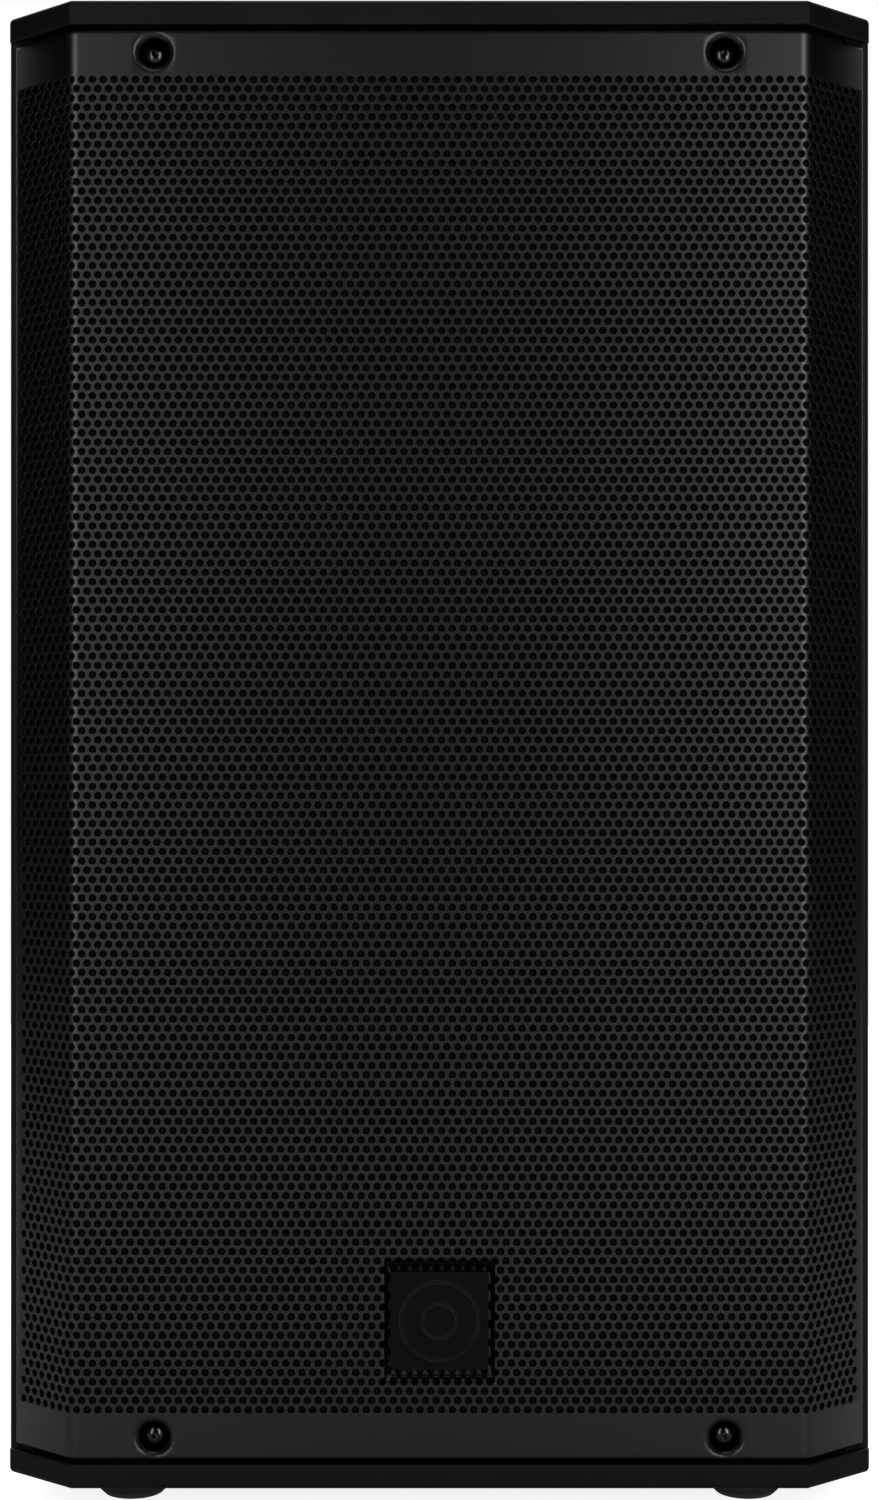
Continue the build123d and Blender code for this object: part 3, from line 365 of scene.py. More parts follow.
def woven(name, dark, light, pitch):
    """Coated cloth of a spider or a roll surround."""
    s = Surface(name)
    across = s.add("ShaderNodeTexWave", bands_direction="X")
    along = s.add("ShaderNodeTexWave", bands_direction="Z")
    for wave in (across, along):
        wave.inputs["Scale"].default_value = 0.31 / pitch
        s.link(s.place, wave.inputs["Vector"])
    weave = s.math("MULTIPLY", across.outputs["Fac"], along.outputs["Fac"])
    s.colour(s.blend(weave, dark, light))
    s.roughness(s.span(s.noise(5 * mm), 0.3, 0.7, 0.65, 0.85))
    s.bumps((weave, 0.15 * mm, 0.6))
    return s.material


def pulp_paper(name):
    """Pressed paper cone with its fibres."""
    s = Surface(name)
    fibres = s.noise(1.2 * mm, 8.0, 0.75)
    s.colour(s.blend(s.span(fibres, 0.35, 0.65), (0.006, 0.006, 0.006), (0.022, 0.021, 0.02)))
    s.roughness(s.span(fibres, 0.3, 0.7, 0.6, 0.8))
    s.bumps((fibres, 0.2 * mm, 0.7))
    return s.material


def circuit_board(name):
    """Green solder mask with faint copper runs."""
    s = Surface(name)
    runs = s.noise(3 * mm, 1.0, 0.3, s.stretched((1.0, 1.0, 0.25)))
    trace = s.span(s.math("ABSOLUTE", s.math("SUBTRACT", runs, 0.5), 0.0), 0.02, 0.05)
    s.colour(s.blend(trace, (0.02, 0.12, 0.045), (0.006, 0.05, 0.022)))
    s.roughness(s.span(s.noise(4 * mm), 0.3, 0.7, 0.3, 0.5))
    s.bumps((trace, 0.04 * mm, 0.5))
    return s.material


def lamp_lens(name):
    """Moulded lamp lenses: signal and power green, limit amber, fault red, along X."""
    s = Surface(name)
    split = s.add("ShaderNodeSeparateXYZ")
    s.link(s.place, split.inputs[0])
    low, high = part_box("status_lamps")
    row = s.span(split.outputs["X"], low.x, high.x)
    ramp = s.add("ShaderNodeValToRGB")
    ramp.color_ramp.interpolation = "CONSTANT"
    ramp.color_ramp.elements[0].color = (0.02, 0.16, 0.03, 1)
    ramp.color_ramp.elements[1].position = 0.75
    ramp.color_ramp.elements[1].color = (0.30, 0.012, 0.01, 1)
    amber = ramp.color_ramp.elements.new(0.5)
    amber.color = (0.35, 0.14, 0.01, 1)
    s.link(row, ramp.inputs["Fac"])
    s.colour(s.blend(s.span(s.noise(1 * mm), 0.3, 0.7, 0.0, 0.3), ramp.outputs["Color"], (0.2, 0.2, 0.2)))
    s.roughness(s.span(s.noise(2 * mm), 0.3, 0.7, 0.12, 0.25))
    s.bumps((s.noise(0.4 * mm), 0.01 * mm, 0.3))
    return s.material


def printed_ink(name):
    """Pale screen-printed ink, worn thin in places."""
    s = Surface(name)
    worn = s.span(s.noise(2.5 * mm, 5.0, 0.6), 0.35, 0.6)
    s.colour(s.blend(worn, (0.20, 0.20, 0.20), (0.50, 0.50, 0.48)))
    s.roughness(s.span(s.noise(1 * mm), 0.3, 0.7, 0.5, 0.7))
    s.bumps((s.noise(0.3 * mm), 0.01 * mm, 0.4))
    return s.material


# Edge colours, here and in the looks below, are lighter than their materials: painted highlights.
black_edge_highlight = (0.03, 0.03, 0.031)
looks = {
    "cabinet_paint": textured_paint("cabinet_paint", (0.002, 0.002, 0.0022), (0.004, 0.004, 0.0044),
                                    0.9 * mm, 0.10 * mm, (0.44, 0.62), (0.010, 0.010, 0.0105),
                                    specular=0.13),
    "grille_paint": grille_coating("grille_paint"),
    "amp_paint": textured_paint("amp_paint", (0.012, 0.012, 0.013), (0.018, 0.018, 0.019),
                                0.5 * mm, 0.04 * mm, (0.45, 0.6), (0.05, 0.05, 0.05)),
    "raw_board": stained_board("raw_board"),
    "acoustic_foam": open_foam("acoustic_foam"),
    "black_steel": drawn_metal("black_steel", (0.02, 0.02, 0.021), (0.06, 0.06, 0.062), (0.13, 0.22),
                               (1, 1, 1), 0.004 * mm),
    "badge_plastic": moulded("badge_plastic", (0.001, 0.001, 0.0014), (0.0018, 0.0018, 0.0023), (0.5, 0.58),
                             0.25 * mm, 0.006 * mm, (0.03, 0.03, 0.035), specular=0.08),
    "cast_frame": textured_paint("cast_frame", (0.008, 0.008, 0.008), (0.014, 0.014, 0.014),
                                 1.2 * mm, 0.15 * mm, (0.5, 0.7)),
    "gasket_foam": moulded("gasket_foam", (0.006, 0.006, 0.006), (0.012, 0.012, 0.012), (0.85, 0.95),
                           0.6 * mm, 0.1 * mm),
    "cone_paper": pulp_paper("cone_paper"),
    "surround_cloth": woven("surround_cloth", (0.006, 0.006, 0.006), (0.02, 0.02, 0.02), 0.7 * mm),
    "spider_cloth": woven("spider_cloth", (0.30, 0.16, 0.045), (0.55, 0.34, 0.12), 0.9 * mm),
    "coil_wire": drawn_metal("coil_wire", (0.35, 0.14, 0.06), (0.8, 0.38, 0.2), (0.25, 0.4), (0.02, 1, 0.02)),
    "motor_steel": drawn_metal("motor_steel", (0.35, 0.34, 0.33), (0.6, 0.6, 0.58), (0.3, 0.5), (1, 1, 1)),
    "ferrite": moulded("ferrite", (0.02, 0.02, 0.022), (0.05, 0.05, 0.052), (0.5, 0.75), 0.8 * mm, 0.1 * mm),
    "black_plastic": moulded("black_plastic", (0.006, 0.006, 0.0065), (0.012, 0.012, 0.0125), (0.4, 0.55),
                             0.4 * mm, 0.03 * mm, black_edge_highlight),
    "dome_metal": drawn_metal("dome_metal", (0.4, 0.4, 0.42), (0.65, 0.65, 0.68), (0.25, 0.4), (1, 1, 1)),
    "anodised_aluminium": drawn_metal("anodised_aluminium", (0.016, 0.016, 0.017), (0.035, 0.035, 0.037),
                                      (0.36, 0.5), (1, 1, 0.01), 0.008 * mm),
    "housing_steel": drawn_metal("housing_steel", (0.4, 0.41, 0.42), (0.6, 0.61, 0.62), (0.3, 0.5)),
    "circuit_board": circuit_board("circuit_board"),
    "latch_plastic": moulded("latch_plastic", (0.012, 0.012, 0.012), (0.03, 0.03, 0.03), (0.35, 0.5)),
    "rocker_plastic": moulded("rocker_plastic", (0.012, 0.012, 0.013), (0.022, 0.022, 0.024), (0.25, 0.4),
                              0.3 * mm, 0.008 * mm, black_edge_highlight),
    "knob_plastic": moulded("knob_plastic", (0.012, 0.012, 0.013), (0.024, 0.024, 0.026), (0.35, 0.5),
                            0.3 * mm, 0.02 * mm, black_edge_highlight),
    "lamp_lens": lamp_lens("lamp_lens"),
    "zinc_steel": drawn_metal("zinc_steel", (0.38, 0.38, 0.36), (0.62, 0.62, 0.60), (0.28, 0.45), (1, 1, 1)),
    "foot_rubber": moulded("foot_rubber", (0.004, 0.004, 0.004), (0.009, 0.009, 0.009), (0.7, 0.85),
                           0.5 * mm, 0.05 * mm, (0.016, 0.016, 0.016), sheen=0.1),
    "wire_sleeve": moulded("wire_sleeve", (0.25, 0.012, 0.01), (0.35, 0.02, 0.015), (0.35, 0.5)),
}

for node in nodes.values():
    slot = node.data.materials[0].name.split(".")[0]
    node.data.materials[0] = looks[slot]


# ================================================================ helpers for new pieces
def new_piece(name, vertices, faces, slot, body="cabinet", sharp=35.0, look=None):
    """A smooth-shaded mesh with its sharp corners kept, riding on a body, in a slot's material."""
    mesh = bpy.data.meshes.new(name)
    mesh.from_pydata(vertices, [], faces)
    mesh.materials.append(look or looks[slot])
    mesh.shade_smooth()
    mesh.set_sharp_from_angle(angle=radians(sharp))
    piece = bpy.data.objects.new(name, mesh)
    bpy.context.scene.collection.objects.link(piece)
    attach(piece, body)
    return piece


# ================================================================ perforated grille
# A flat pattern in millimetres: u runs across the unfolded sheet, s up it, and depth goes inwards.
sheet = 1.5
bend_angle = radians(38.0)
bend_radius = 9.0
bend_corner = 171.5  # where the outer faces would meet
flat_half = bend_corner - bend_radius * tan(bend_angle / 2)
arc_length = bend_radius * bend_angle
grille_front = grille_low.y / mm
grille_half = grille_high.x / mm
facet_run = (grille_half - bend_corner) / cos(bend_angle) - bend_radius * tan(bend_angle / 2)
sheet_half = flat_half + arc_length + facet_run
middle_s = (grille_low.z + grille_high.z) / 2 / mm
sheet_rise = (grille_high.z - grille_low.z) / 2 / mm

hole_radius = 1.75
hole_pitch = 5.0
half_pitch = hole_pitch / 2
row_pitch = hole_pitch * sqrt(3) / 2
hole_rows = 144
rows_per_piece = 24
hole_offset = 0.96  # the pattern stands a little right of the sheet's middle
hole_margin = 3.7
rim = 0.16  # rounding of the holes' and the sheet's edges
hole_sides = 12
first_line = middle_s - hole_rows / 2 * row_pitch

roll_radius = 2.6
roll_start = sheet_rise - roll_radius  # from the middle of the sheet
roll_end = roll_start + roll_radius * pi / 2 + 0.25
dimple_u = (screws_high.x - screw_head) / mm
dimple_s = (screws_high.z - screw_head) / mm
cup_slope, cup_wall = 2.2, 3.3  # depth of the pressed slope round a screw, and of the cup's wall
cup_depth = cup_slope + cup_wall
recess_half = (26.0, 29.5)
recess_slope = (2.2, 5.0)
recess_depth = (badge_high.y - grille_low.y) / mm + 0.2
badge_s = (badge_low.z + badge_high.z) / 2 / mm


class Pattern:
    """Flat pattern of a sheet: points on its face, their places on its edge wall, and faces."""

    def __init__(self):
        self.face_points = []
        self.wall_points = []
        self.faces = []
        self.known = {}

    def point(self, key, face, wall=None):
        """Index of the point named key, made on first use. Wall differs where the edge is rounded."""
        if key not in self.known:
            self.known[key] = len(self.face_points)
            self.face_points.append(face)
            self.wall_points.append(wall or face)
        return self.known[key]

    def solid(self):
        """Vertices (u, s, depth) and faces of the closed sheet."""
        count = len(self.face_points)
        vertices = [(u, s, 0.0) for u, s in self.face_points]
        vertices += [(u, s, sheet) for u, s in self.wall_points]
        faces = list(self.faces)
        faces += [tuple(count + i for i in reversed(face)) for face in self.faces]
        open_edges = set()
        for face in self.faces:
            for a, b in zip(face, face[1:] + face[:1]):
                if (b, a) in open_edges:
                    open_edges.discard((b, a))
                else:
                    open_edges.add((a, b))
        middle = {}
        for a, b in sorted(open_edges):
            for i in (a, b):
                if i not in middle:
                    middle[i] = len(vertices)
                    vertices.append((*self.wall_points[i], rim))
            faces.append((b, a, middle[a], middle[b]))
            faces.append((middle[b], middle[a], count + a, count + b))
        return vertices, faces


def lattice_u(m):
    return hole_offset + half_pitch * m


def row_columns(row):
    """Lattice columns of a row's holes: every second one, as far as the margin allows."""
    reach = int(sheet_half / half_pitch) + 1
    return [
        m for m in range(-reach, reach + 1)
        if (m + row) % 2 == 0 and abs(lattice_u(m)) <= sheet_half - hole_margin
    ]


def line_s(line):
    return first_line + line * row_pitch


def add_hole(pattern, row, column):
    """One brick of the pattern, 5 mm wide and a row high, with its hole."""
    corners = [(1, 1), (0, 1), (-1, 1), (-1, 0), (0, 0), (1, 0)]
    border = []
    for across, up in corners:
        m, line = column + across, row + up
        border.append(pattern.point(("lattice", m, line), (lattice_u(m), line_s(line))))
    centre_u, centre_s = lattice_u(column), line_s(row) + row_pitch / 2
    ring = []
    for n in range(hole_sides):
        angle = radians(30 * (n + 1))
        spot = [
            (centre_u + r * cos(angle), centre_s + r * sin(angle))
            for r in (hole_radius + rim, hole_radius)
        ]
        ring.append(pattern.point(("ring", column, row, n), *spot))
    for n in range(6):
        a, b, c = (ring[(2 * n + k) % hole_sides] for k in range(3))
        pattern.faces.append((border[n], b, a))
        pattern.faces.append((border[n], border[(n + 1) % 6], c, b))


def add_margins(pattern, row, line_columns):
    """The solid strips between a row's end bricks and the sheet's two upright edges."""
    columns = row_columns(row)
    for side, end in ((-1, columns[0] - 1), (1, columns[-1] + 1)):
        rims = []
        for line in (row, row + 1):
            s = line_s(line)
            face_spot, wall_spot = (side * (sheet_half - 2 * rim), s), (side * sheet_half, s)
            edge = pattern.point(("edge", side, line), face_spot, wall_spot)
            beyond = sorted(m for m in line_columns[line] if side * m >= side * end)
            run = [pattern.point(("lattice", m, line), (lattice_u(m), s)) for m in beyond]
            rims.append([edge] + run if side < 0 else run + [edge])
        low, high = rims
        pattern.faces.append(tuple(low + high[::-1]))


def field_pattern(first_row, last_row):
    """Rows of holes from first_row up to last_row, margins included."""
    pattern = Pattern()
    line_columns = {line: set() for line in range(first_row, last_row + 2)}
    for row in range(first_row, last_row + 1):
        for column in row_columns(row):
            for line in (row, row + 1):
                line_columns[line].update((column - 1, column, column + 1))
    for row in range(first_row, last_row + 1):
        for column in row_columns(row):
            add_hole(pattern, row, column)
        add_margins(pattern, row, line_columns)
    return pattern


patch_half = 10.6
dimple_rings = (2.6, 6.7, 6.85, 7.0, 7.25, 7.7, 8.3, 9.1, 10.0)
dimple_sides = 48


def add_dimple(pattern, centre_u, centre_s):
    """Square patch of the band round one screw: rings that the dimple's depth is given to."""
    rings = []
    for radius in dimple_rings:
        spots = [(centre_u + radius * cos(2 * pi * n / dimple_sides),
                  centre_s + radius * sin(2 * pi * n / dimple_sides)) for n in range(dimple_sides)]
        rings.append([pattern.point(("ring", centre_u, radius, n), spot) for n, spot in enumerate(spots)])
    border = []
    for n in range(dimple_sides):
        x, y = cos(2 * pi * n / dimple_sides), sin(2 * pi * n / dimple_sides)
        reach = patch_half / max(abs(x), abs(y))
        border.append(pattern.point(("patch", centre_u, n), (centre_u + x * reach, centre_s + y * reach)))
    rings.append(border)
    for inner, outer in zip(rings, rings[1:]):
        for n in range(dimple_sides):
            after = (n + 1) % dimple_sides
            pattern.faces.append((inner[n], outer[n], outer[after], inner[after]))
    eighth = dimple_sides // 8
    turned = border[-eighth:] + border[:-eighth]
    right, top, left, bottom = (turned[2 * eighth * k:2 * eighth * k + 2 * eighth + 1] for k in range(4))
    return right, top, left, bottom + turned[:1]


def band_pattern():
    """The solid band above the holes, with its two screw dimples and its rolled edge."""
    pattern = Pattern()
    low, high = line_s(hole_rows), middle_s + roll_end
    inset = 2 * rim

    def corner(name, u, s, inset_u=0.0, inset_s=0.0):
        return pattern.point(name, (u - inset_u, s - inset_s), (u, s))

    outer = {}
    for side in (-1, 1):
        edge_low = corner(("edge", side, 0), side * sheet_half, low, side * inset)
        edge_high = corner(("edge", side, 1), side * sheet_half, high, side * inset, inset)
        right, top, left, bottom = add_dimple(pattern, side * dimple_u, dimple_s)
        base = [corner(("base", side, k), side * dimple_u + k * patch_half, low) for k in (-1, 1)]
        head = [corner(("head", side, k), side * dimple_u + k * patch_half, high, 0, inset) for k in (-1, 1)]
        pattern.faces.append((base[0], base[1], *reversed(bottom)))
        pattern.faces.append((*reversed(top), head[1], head[0]))
        if side < 0:
            pattern.faces.append((edge_low, base[0], *reversed(left), head[0], edge_high))
            outer[side] = (base[1], head[1], right)
        else:
            pattern.faces.append((base[1], edge_low, edge_high, head[1], *reversed(right)))
            outer[side] = (base[0], head[0], left)
    left_base, left_head, left_side = outer[-1]
    right_base, right_head, right_side = outer[1]
    pattern.faces.append((left_base, right_base, *reversed(right_side), right_head, left_head,
                          *reversed(left_side)))
    return pattern


def cut_lines(mesh, axis, places, within=None):
    """Cut the faces, or those in within = (low u, high u, low s, high s), at places along an axis."""
    normal = (1, 0, 0) if axis == 0 else (0, 1, 0)
    for place in places:
        reach = 6.0
        faces = []
        for face in mesh.faces:
            c = [v.co[axis] for v in face.verts]
            if min(c) < place < max(c):
                centre = face.calc_center_bounds()
                if within is None or (within[0] - reach < centre.x < within[1] + reach
                                      and within[2] - reach < centre.y < within[3] + reach):
                    faces.append(face)
        edges = list({edge for face in faces for edge in face.edges})
        verts = list({vert for face in faces for vert in face.verts})
        at = (place, 0, 0) if axis == 0 else (0, place, 0)
        bmesh.ops.bisect_plane(mesh, geom=verts + edges + faces, dist=1e-4, plane_co=at, plane_no=normal)


def dimple_depth(u, s):
    """How far the sheet is pressed in round the screws."""
    off_u = np.abs(np.abs(u) - dimple_u)
    off_s = np.abs(np.abs(s - middle_s) - (dimple_s - middle_s))
    r = np.hypot(off_u, off_s)
    slope = cup_slope * np.clip((10.0 - r) / 3.0, 0, 1) ** 2
    wall = cup_wall * np.clip((7.0 - r) / 0.3, 0, 1)
    return slope + wall


def recess_press(u, s):
    """How far the sheet is pressed in behind the badge."""
    t_u = np.clip((recess_half[0] - np.abs(u)) / recess_slope[0], 0, 1)
    t_s = np.clip((recess_half[1] - np.abs(s - badge_s)) / recess_slope[1], 0, 1)
    t = np.minimum(t_u, t_s)
    return recess_depth * t * t * (3 - 2 * t)


def bend(u, depth, z, corner_radius=bend_radius):
    """Points in metres of the sheet bent back at both sides."""
    flat = bend_corner - corner_radius * tan(bend_angle / 2)
    arc = corner_radius * bend_angle
    over = np.abs(u) - flat
    angle = np.clip(over / corner_radius, 0, bend_angle)
    beyond = np.clip(over - arc, 0, None)
    inner = corner_radius - depth
    x = np.minimum(np.abs(u), flat) + inner * np.sin(angle) + beyond * cos(bend_angle)
    y = grille_front + corner_radius - inner * np.cos(angle) + beyond * sin(bend_angle)
    return np.column_stack([np.sign(u) * x, y, z]) * mm


def rolled(s, depth):
    """Height and depth of points where the sheet's top and bottom edges roll back."""
    off = s - middle_s
    past = np.abs(off) - roll_start
    angle = np.clip(past / roll_radius, 0, pi / 2)
    beyond = np.clip(past - roll_radius * pi / 2, 0, None)
    inner = roll_radius - depth
    height = np.where(past > 0, roll_start + inner * np.sin(angle), np.abs(off))
    back = np.where(past > 0, roll_radius - inner * np.cos(angle) + beyond, depth)
    return middle_s + np.sign(off) * height, back


lead = 0.6  # how far before a bend the first cut lies
bend_cuts = [flat_half + arc_length * k / 4 for k in range(5)]
bend_cuts += [flat_half - lead, flat_half + arc_length + lead]
roll_cuts = [roll_start + roll_radius * pi / 2 * k / 5 for k in range(6)] + [roll_start - lead]


def grille_piece(name, pattern, flipped=False, rolls=False, recess=False):
    """Cut, press and bend a flat pattern, and stand it in front of the foam."""
    vertices, faces = pattern.solid()
    if flipped:
        vertices = [(u, 2 * middle_s - s, d) for u, s, d in vertices]
        faces = [tuple(reversed(face)) for face in faces]
    flat = bpy.data.meshes.new(name + "_flat")
    flat.from_pydata(vertices, [], faces)
    work = bmesh.new()
    work.from_mesh(flat)
    cut_lines(work, 0, [side * place for side in (-1, 1) for place in bend_cuts])
    if rolls:
        side = -1 if flipped else 1
        cut_lines(work, 1, [middle_s + side * place for place in roll_cuts])
    if recess:
        box = (-recess_half[0], recess_half[0], badge_s - recess_half[1], badge_s + recess_half[1])
        steps = [k / 5 for k in range(6)]
        for side in (-1, 1):
            across = [side * (recess_half[0] - recess_slope[0] * k) for k in steps]
            up = [badge_s + side * (recess_half[1] - recess_slope[1] * k) for k in steps]
            cut_lines(work, 0, across, box)
            cut_lines(work, 1, up, box)
    work.to_mesh(flat)
    work.free()
    points = np.empty(len(flat.vertices) * 3)
    flat.vertices.foreach_get("co", points)
    u, s, depth = points.reshape(-1, 3).T
    if recess:
        depth = depth + recess_press(u, s)
    if rolls:
        depth = depth + dimple_depth(u, s)
    height, depth = rolled(s, depth)
    faces = [tuple(p.vertices) for p in flat.polygons]
    piece = new_piece(name, bend(u, depth, height), faces, "grille_paint")
    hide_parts("grille")
    bpy.data.meshes.remove(flat)
    return piece


def make_grille():
    for number, first in enumerate(range(0, hole_rows, rows_per_piece)):
        pattern = field_pattern(first, first + rows_per_piece - 1)
        grille_piece(f"grille_field_{number + 1}", pattern, recess=number == 0)
    grille_piece("grille_top_band", band_pattern(), rolls=True)
    grille_piece("grille_bottom_band", band_pattern(), flipped=True, rolls=True)


make_grille()


# ================================================================ foam behind the grille
def make_foam():
    """Thin open-cell foam that follows the bent grille, with a window for the badge recess."""
    front_gap, thickness, corner_radius = sheet + 0.3, 3.9, 8.0
    window = (27.0, 30.5)
    top, bottom, half = foam_high.z / mm, foam_low.z / mm, 196.0

    def marks(low, high, inner_low, inner_high, step):
        stops = [low, inner_low, inner_high, high]
        out = [low]
        for a, b in zip(stops, stops[1:]):
            count = max(1, round((b - a) / step))
            out += [a + (b - a) * (k + 1) / count for k in range(count)]
        return out

    across = marks(-half, half, -window[0], window[0], 3.5)
    up = marks(bottom, top, badge_s - window[1], badge_s + window[1], 4.0)
    columns, rows = len(across), len(up)
    rng = np.random.default_rng(7)
    dents = rng.random((rows, columns)) * 0.5
    grid_u, grid_s = np.meshgrid(across, up)
    front = bend(grid_u.ravel(), (front_gap + dents).ravel(), grid_s.ravel(), corner_radius)
    back = bend(grid_u.ravel(), np.full(grid_u.size, front_gap + thickness), grid_s.ravel(), corner_radius)
    layer = rows * columns
    faces, open_edges = [], set()
    for r in range(rows - 1):
        for c in range(columns - 1):
            mid_u, mid_s = (across[c] + across[c + 1]) / 2, (up[r] + up[r + 1]) / 2
            if abs(mid_u) < window[0] and abs(mid_s - badge_s) < window[1]:
                continue
            a = r * columns + c
            quad = (a, a + 1, a + columns + 1, a + columns)
            faces.append(quad)
            faces.append(tuple(layer + i for i in reversed(quad)))
            for p, q in zip(quad, quad[1:] + quad[:1]):
                if (q, p) in open_edges:
                    open_edges.discard((q, p))
                else:
                    open_edges.add((p, q))
    faces += [(q, p, layer + p, layer + q) for p, q in sorted(open_edges)]
    used = sorted({i for face in faces for i in face})
    renumber = {old: new for new, old in enumerate(used)}
    points = np.vstack([front, back])[used]
    faces = [tuple(renumber[i] for i in face) for face in faces]
    foam = new_piece("foam_sheet", points, faces, "acoustic_foam")
    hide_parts("grille_foam")


make_foam()


# ================================================================ grille screws
def button_screw(name, places, outward, radius, rise, shank, length):
    """Domed screws with a hexagonal socket; their heads stand outward from each seat point."""
    sides = 48
    socket = radius * 0.21
    rows = [
        (socket * 0.9, rise * 0.35, True),
        (socket, rise * 0.86, True),
        (socket * 1.12, rise * 0.955, False),
    ]
    crown = [radians(a) for a in (16, 22, 30, 38, 46, 54, 62, 70, 78, 84, 90)]
    for angle in crown:
        rows.append((radius * sin(angle), rise * (0.18 + 0.82 * cos(angle) / cos(crown[0]) * 0.97), False))
    rows += [(radius * 0.985, 0.0, False), (shank, 0.0, False), (shank, -length + shank, False),
             (shank * 0.6, -length, False)]
    out = Vector(outward)
    beside = out.orthogonal().normalized()
    upward = out.cross(beside)
    vertices, faces = [], []
    for number, place in enumerate(places):
        seat = Vector(place)
        start = len(vertices)
        twist = radians(17 + 23 * number)
        for r, h, hexagonal in rows:
            for n in range(sides):
                angle = 2 * pi * n / sides
                reach = r / cos((angle + pi / 6) % (pi / 3) - pi / 6) * 0.93 if hexagonal else r
                a = angle + twist
                vertices.append(seat + beside * (reach * cos(a)) + upward * (reach * sin(a)) + out * h)
        for k in range(len(rows) - 1):
            for n in range(sides):
                m = (n + 1) % sides
                a, b = start + k * sides, start + (k + 1) * sides
                faces.append((a + n, b + n, b + m, a + m))
        faces.append(tuple(start + n for n in range(sides)))
        last = start + (len(rows) - 1) * sides
        faces.append(tuple(last + n for n in reversed(range(sides))))
    return new_piece(name, vertices, faces, "black_steel", sharp=40.0)


seat_y = (grille_front + cup_depth) * mm
screw_places = [
    (x * mm, seat_y, (middle_s + side * (dimple_s - middle_s)) * mm)
    for side in (-1, 1) for x in (-dimple_u, dimple_u)
]
grille_screws = button_screw(
    "grille_button_screws", screw_places, (0, -1, 0),
    radius=screw_head, rise=3.3 * mm, shank=2.4 * mm, length=16 * mm,
)
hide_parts("grille_screws")


# ================================================================ marks on the amplifier plate
ink = printed_ink("printed_ink")
ink_height = 0.12 * mm
dial_turn = 150.0  # from straight up to either end


class Marks:
    """Raised ink marks seen from behind: right is -X, up is +Z."""

    def __init__(self, face, height=ink_height):
        self.face, self.height = face, height
        self.vertices, self.faces = [], []

    def strip(self, left, right, closed=False):
        """Closed band of ink between two rows of (x, z) points."""
        count, start = len(left), len(self.vertices)
        for y in (self.face, self.face + self.height):
            self.vertices += [(x, y, z) for x, z in left]
            self.vertices += [(x, y, z) for x, z in right]
        under, over = start, start + 2 * count
        steps = count if closed else count - 1
        for k in range(steps):
            n = (k + 1) % count
            self.faces.append((over + k, over + n, over + count + n, over + count + k))
            self.faces.append((under + k, under + count + k, under + count + n, under + n))
            self.faces.append((under + k, under + n, over + n, over + k))
            self.faces.append((under + count + n, under + count + k, over + count + k, over + count + n))
        if not closed:
            for k, flip in ((0, False), (count - 1, True)):
                end = (under + k, over + k, over + count + k, under + count + k)
                self.faces.append(tuple(reversed(end)) if flip else end)

    def bar(self, centre, angle, near, far, width):
        """Straight mark on a ray from centre, angle degrees clockwise from straight up."""
        turn = radians(angle)
        along, beside = (-sin(turn), cos(turn)), (cos(turn), sin(turn))
        rows = []
        for side in (0.5, -0.5):
            rows.append([
                (centre[0] + along[0] * r + beside[0] * side * width,
                 centre[1] + along[1] * r + beside[1] * side * width)
                for r in (near, far)
            ])
        self.strip(*rows)

    def outline(self, low, high, corner, width):
        """Rounded rectangle drawn as a line."""
        rows = []
        for inset in (0.0, width):
            points = []
            for x, z, start in ((high[0], high[1], 0), (low[0], high[1], 90),
                                (low[0], low[1], 180), (high[0], low[1], 270)):
                centre_x = x - corner if start in (0, 270) else x + corner
                centre_z = z - corner if start in (0, 90) else z + corner
                for k in range(7):
                    turn, reach = radians(start + 15 * k), corner - inset
                    points.append((centre_x + reach * cos(turn), centre_z + reach * sin(turn)))
            rows.append(points)
        self.strip(*rows, closed=True)

    def piece(self, name, body="cabinet"):
        mark = new_piece(name, self.vertices, self.faces, "amp_paint", body, look=ink)
        work = bmesh.new()
        work.from_mesh(mark.data)
        bmesh.ops.recalc_face_normals(work, faces=work.faces)
        work.to_mesh(mark.data)
        work.free()
        return mark


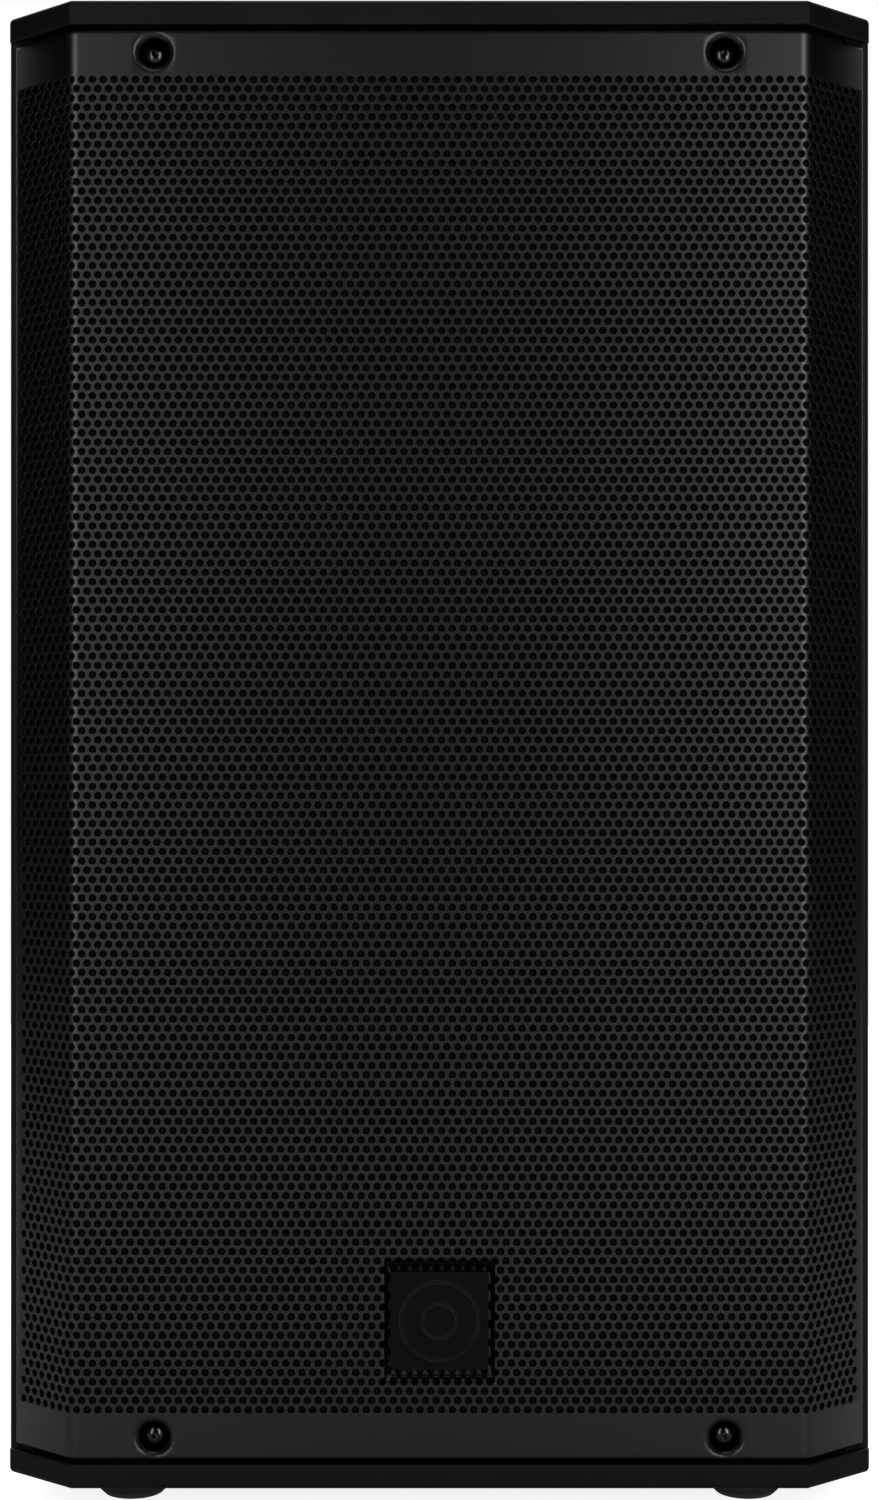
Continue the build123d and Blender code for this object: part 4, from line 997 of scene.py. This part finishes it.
def numeral(text, x, z, size):
    """A raised number standing on the plate, read from behind."""
    curve = bpy.data.curves.new("numeral", "FONT")
    curve.body = text
    curve.size = size
    curve.extrude = ink_height / 2
    curve.align_x, curve.align_y = "CENTER", "CENTER"
    curve.resolution_u = 3
    holder = bpy.data.objects.new("numeral", curve)
    mesh = bpy.data.meshes.new_from_object(holder)
    points = [(x - v.co.x, plate_face + ink_height / 2 + v.co.z, z + v.co.y) for v in mesh.vertices]
    faces = [tuple(p.vertices) for p in mesh.polygons]
    bpy.data.objects.remove(holder)
    bpy.data.curves.remove(curve)
    bpy.data.meshes.remove(mesh)
    return points, faces


def make_plate_marks():
    """A scale round each level knob, a pointer on each knob and a line round each channel."""
    scales = Marks(plate_face)
    lines = Marks(plate_face)
    number_points, number_faces = [], []
    for letter in "ab":
        low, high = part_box(f"level_knob_{letter}")
        centre = ((low.x + high.x) / 2, (low.z + high.z) / 2)
        radius = (high.x - low.x) / 2
        for k in range(11):
            angle = -dial_turn + dial_turn / 5 * k
            scales.bar(centre, angle, radius + 2 * mm, radius + (4.2 if k % 5 == 0 else 3.4) * mm, 0.5 * mm)
        for text, angle in (("0", -dial_turn), ("5", 0.0), ("10", dial_turn)):
            turn, reach = radians(angle), radius + 7.2 * mm
            x, z = centre[0] - reach * sin(turn), centre[1] + reach * cos(turn)
            points, faces = numeral(text, x, z, 4.6 * mm)
            start = len(number_points)
            number_points += points
            number_faces += [tuple(start + i for i in face) for face in faces]
        socket_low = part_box("input_jacks")[0]
        line_low = (centre[0] - 26 * mm, socket_low.z - 8 * mm)
        line_high = (centre[0] + 26 * mm, centre[1] + 22 * mm)
        lines.outline(line_low, line_high, corner=5 * mm, width=0.7 * mm)
        pointer = Marks(high.y - 0.8 * mm, 0.7 * mm)
        pointer.bar(centre, 0.0, 1.2 * mm, 6.6 * mm, 1.0 * mm)
        pointer.piece(f"knob_pointer_{letter}", f"knob_{letter}")
    scales.piece("dial_scales")
    lines.piece("channel_lines")
    numbers = new_piece("dial_numbers", number_points, number_faces, "amp_paint", look=ink)
    work = bmesh.new()
    work.from_mesh(numbers.data)
    bmesh.ops.remove_doubles(work, verts=work.verts, dist=1e-6)
    bmesh.ops.recalc_face_normals(work, faces=work.faces)
    work.to_mesh(numbers.data)
    work.free()


make_plate_marks()
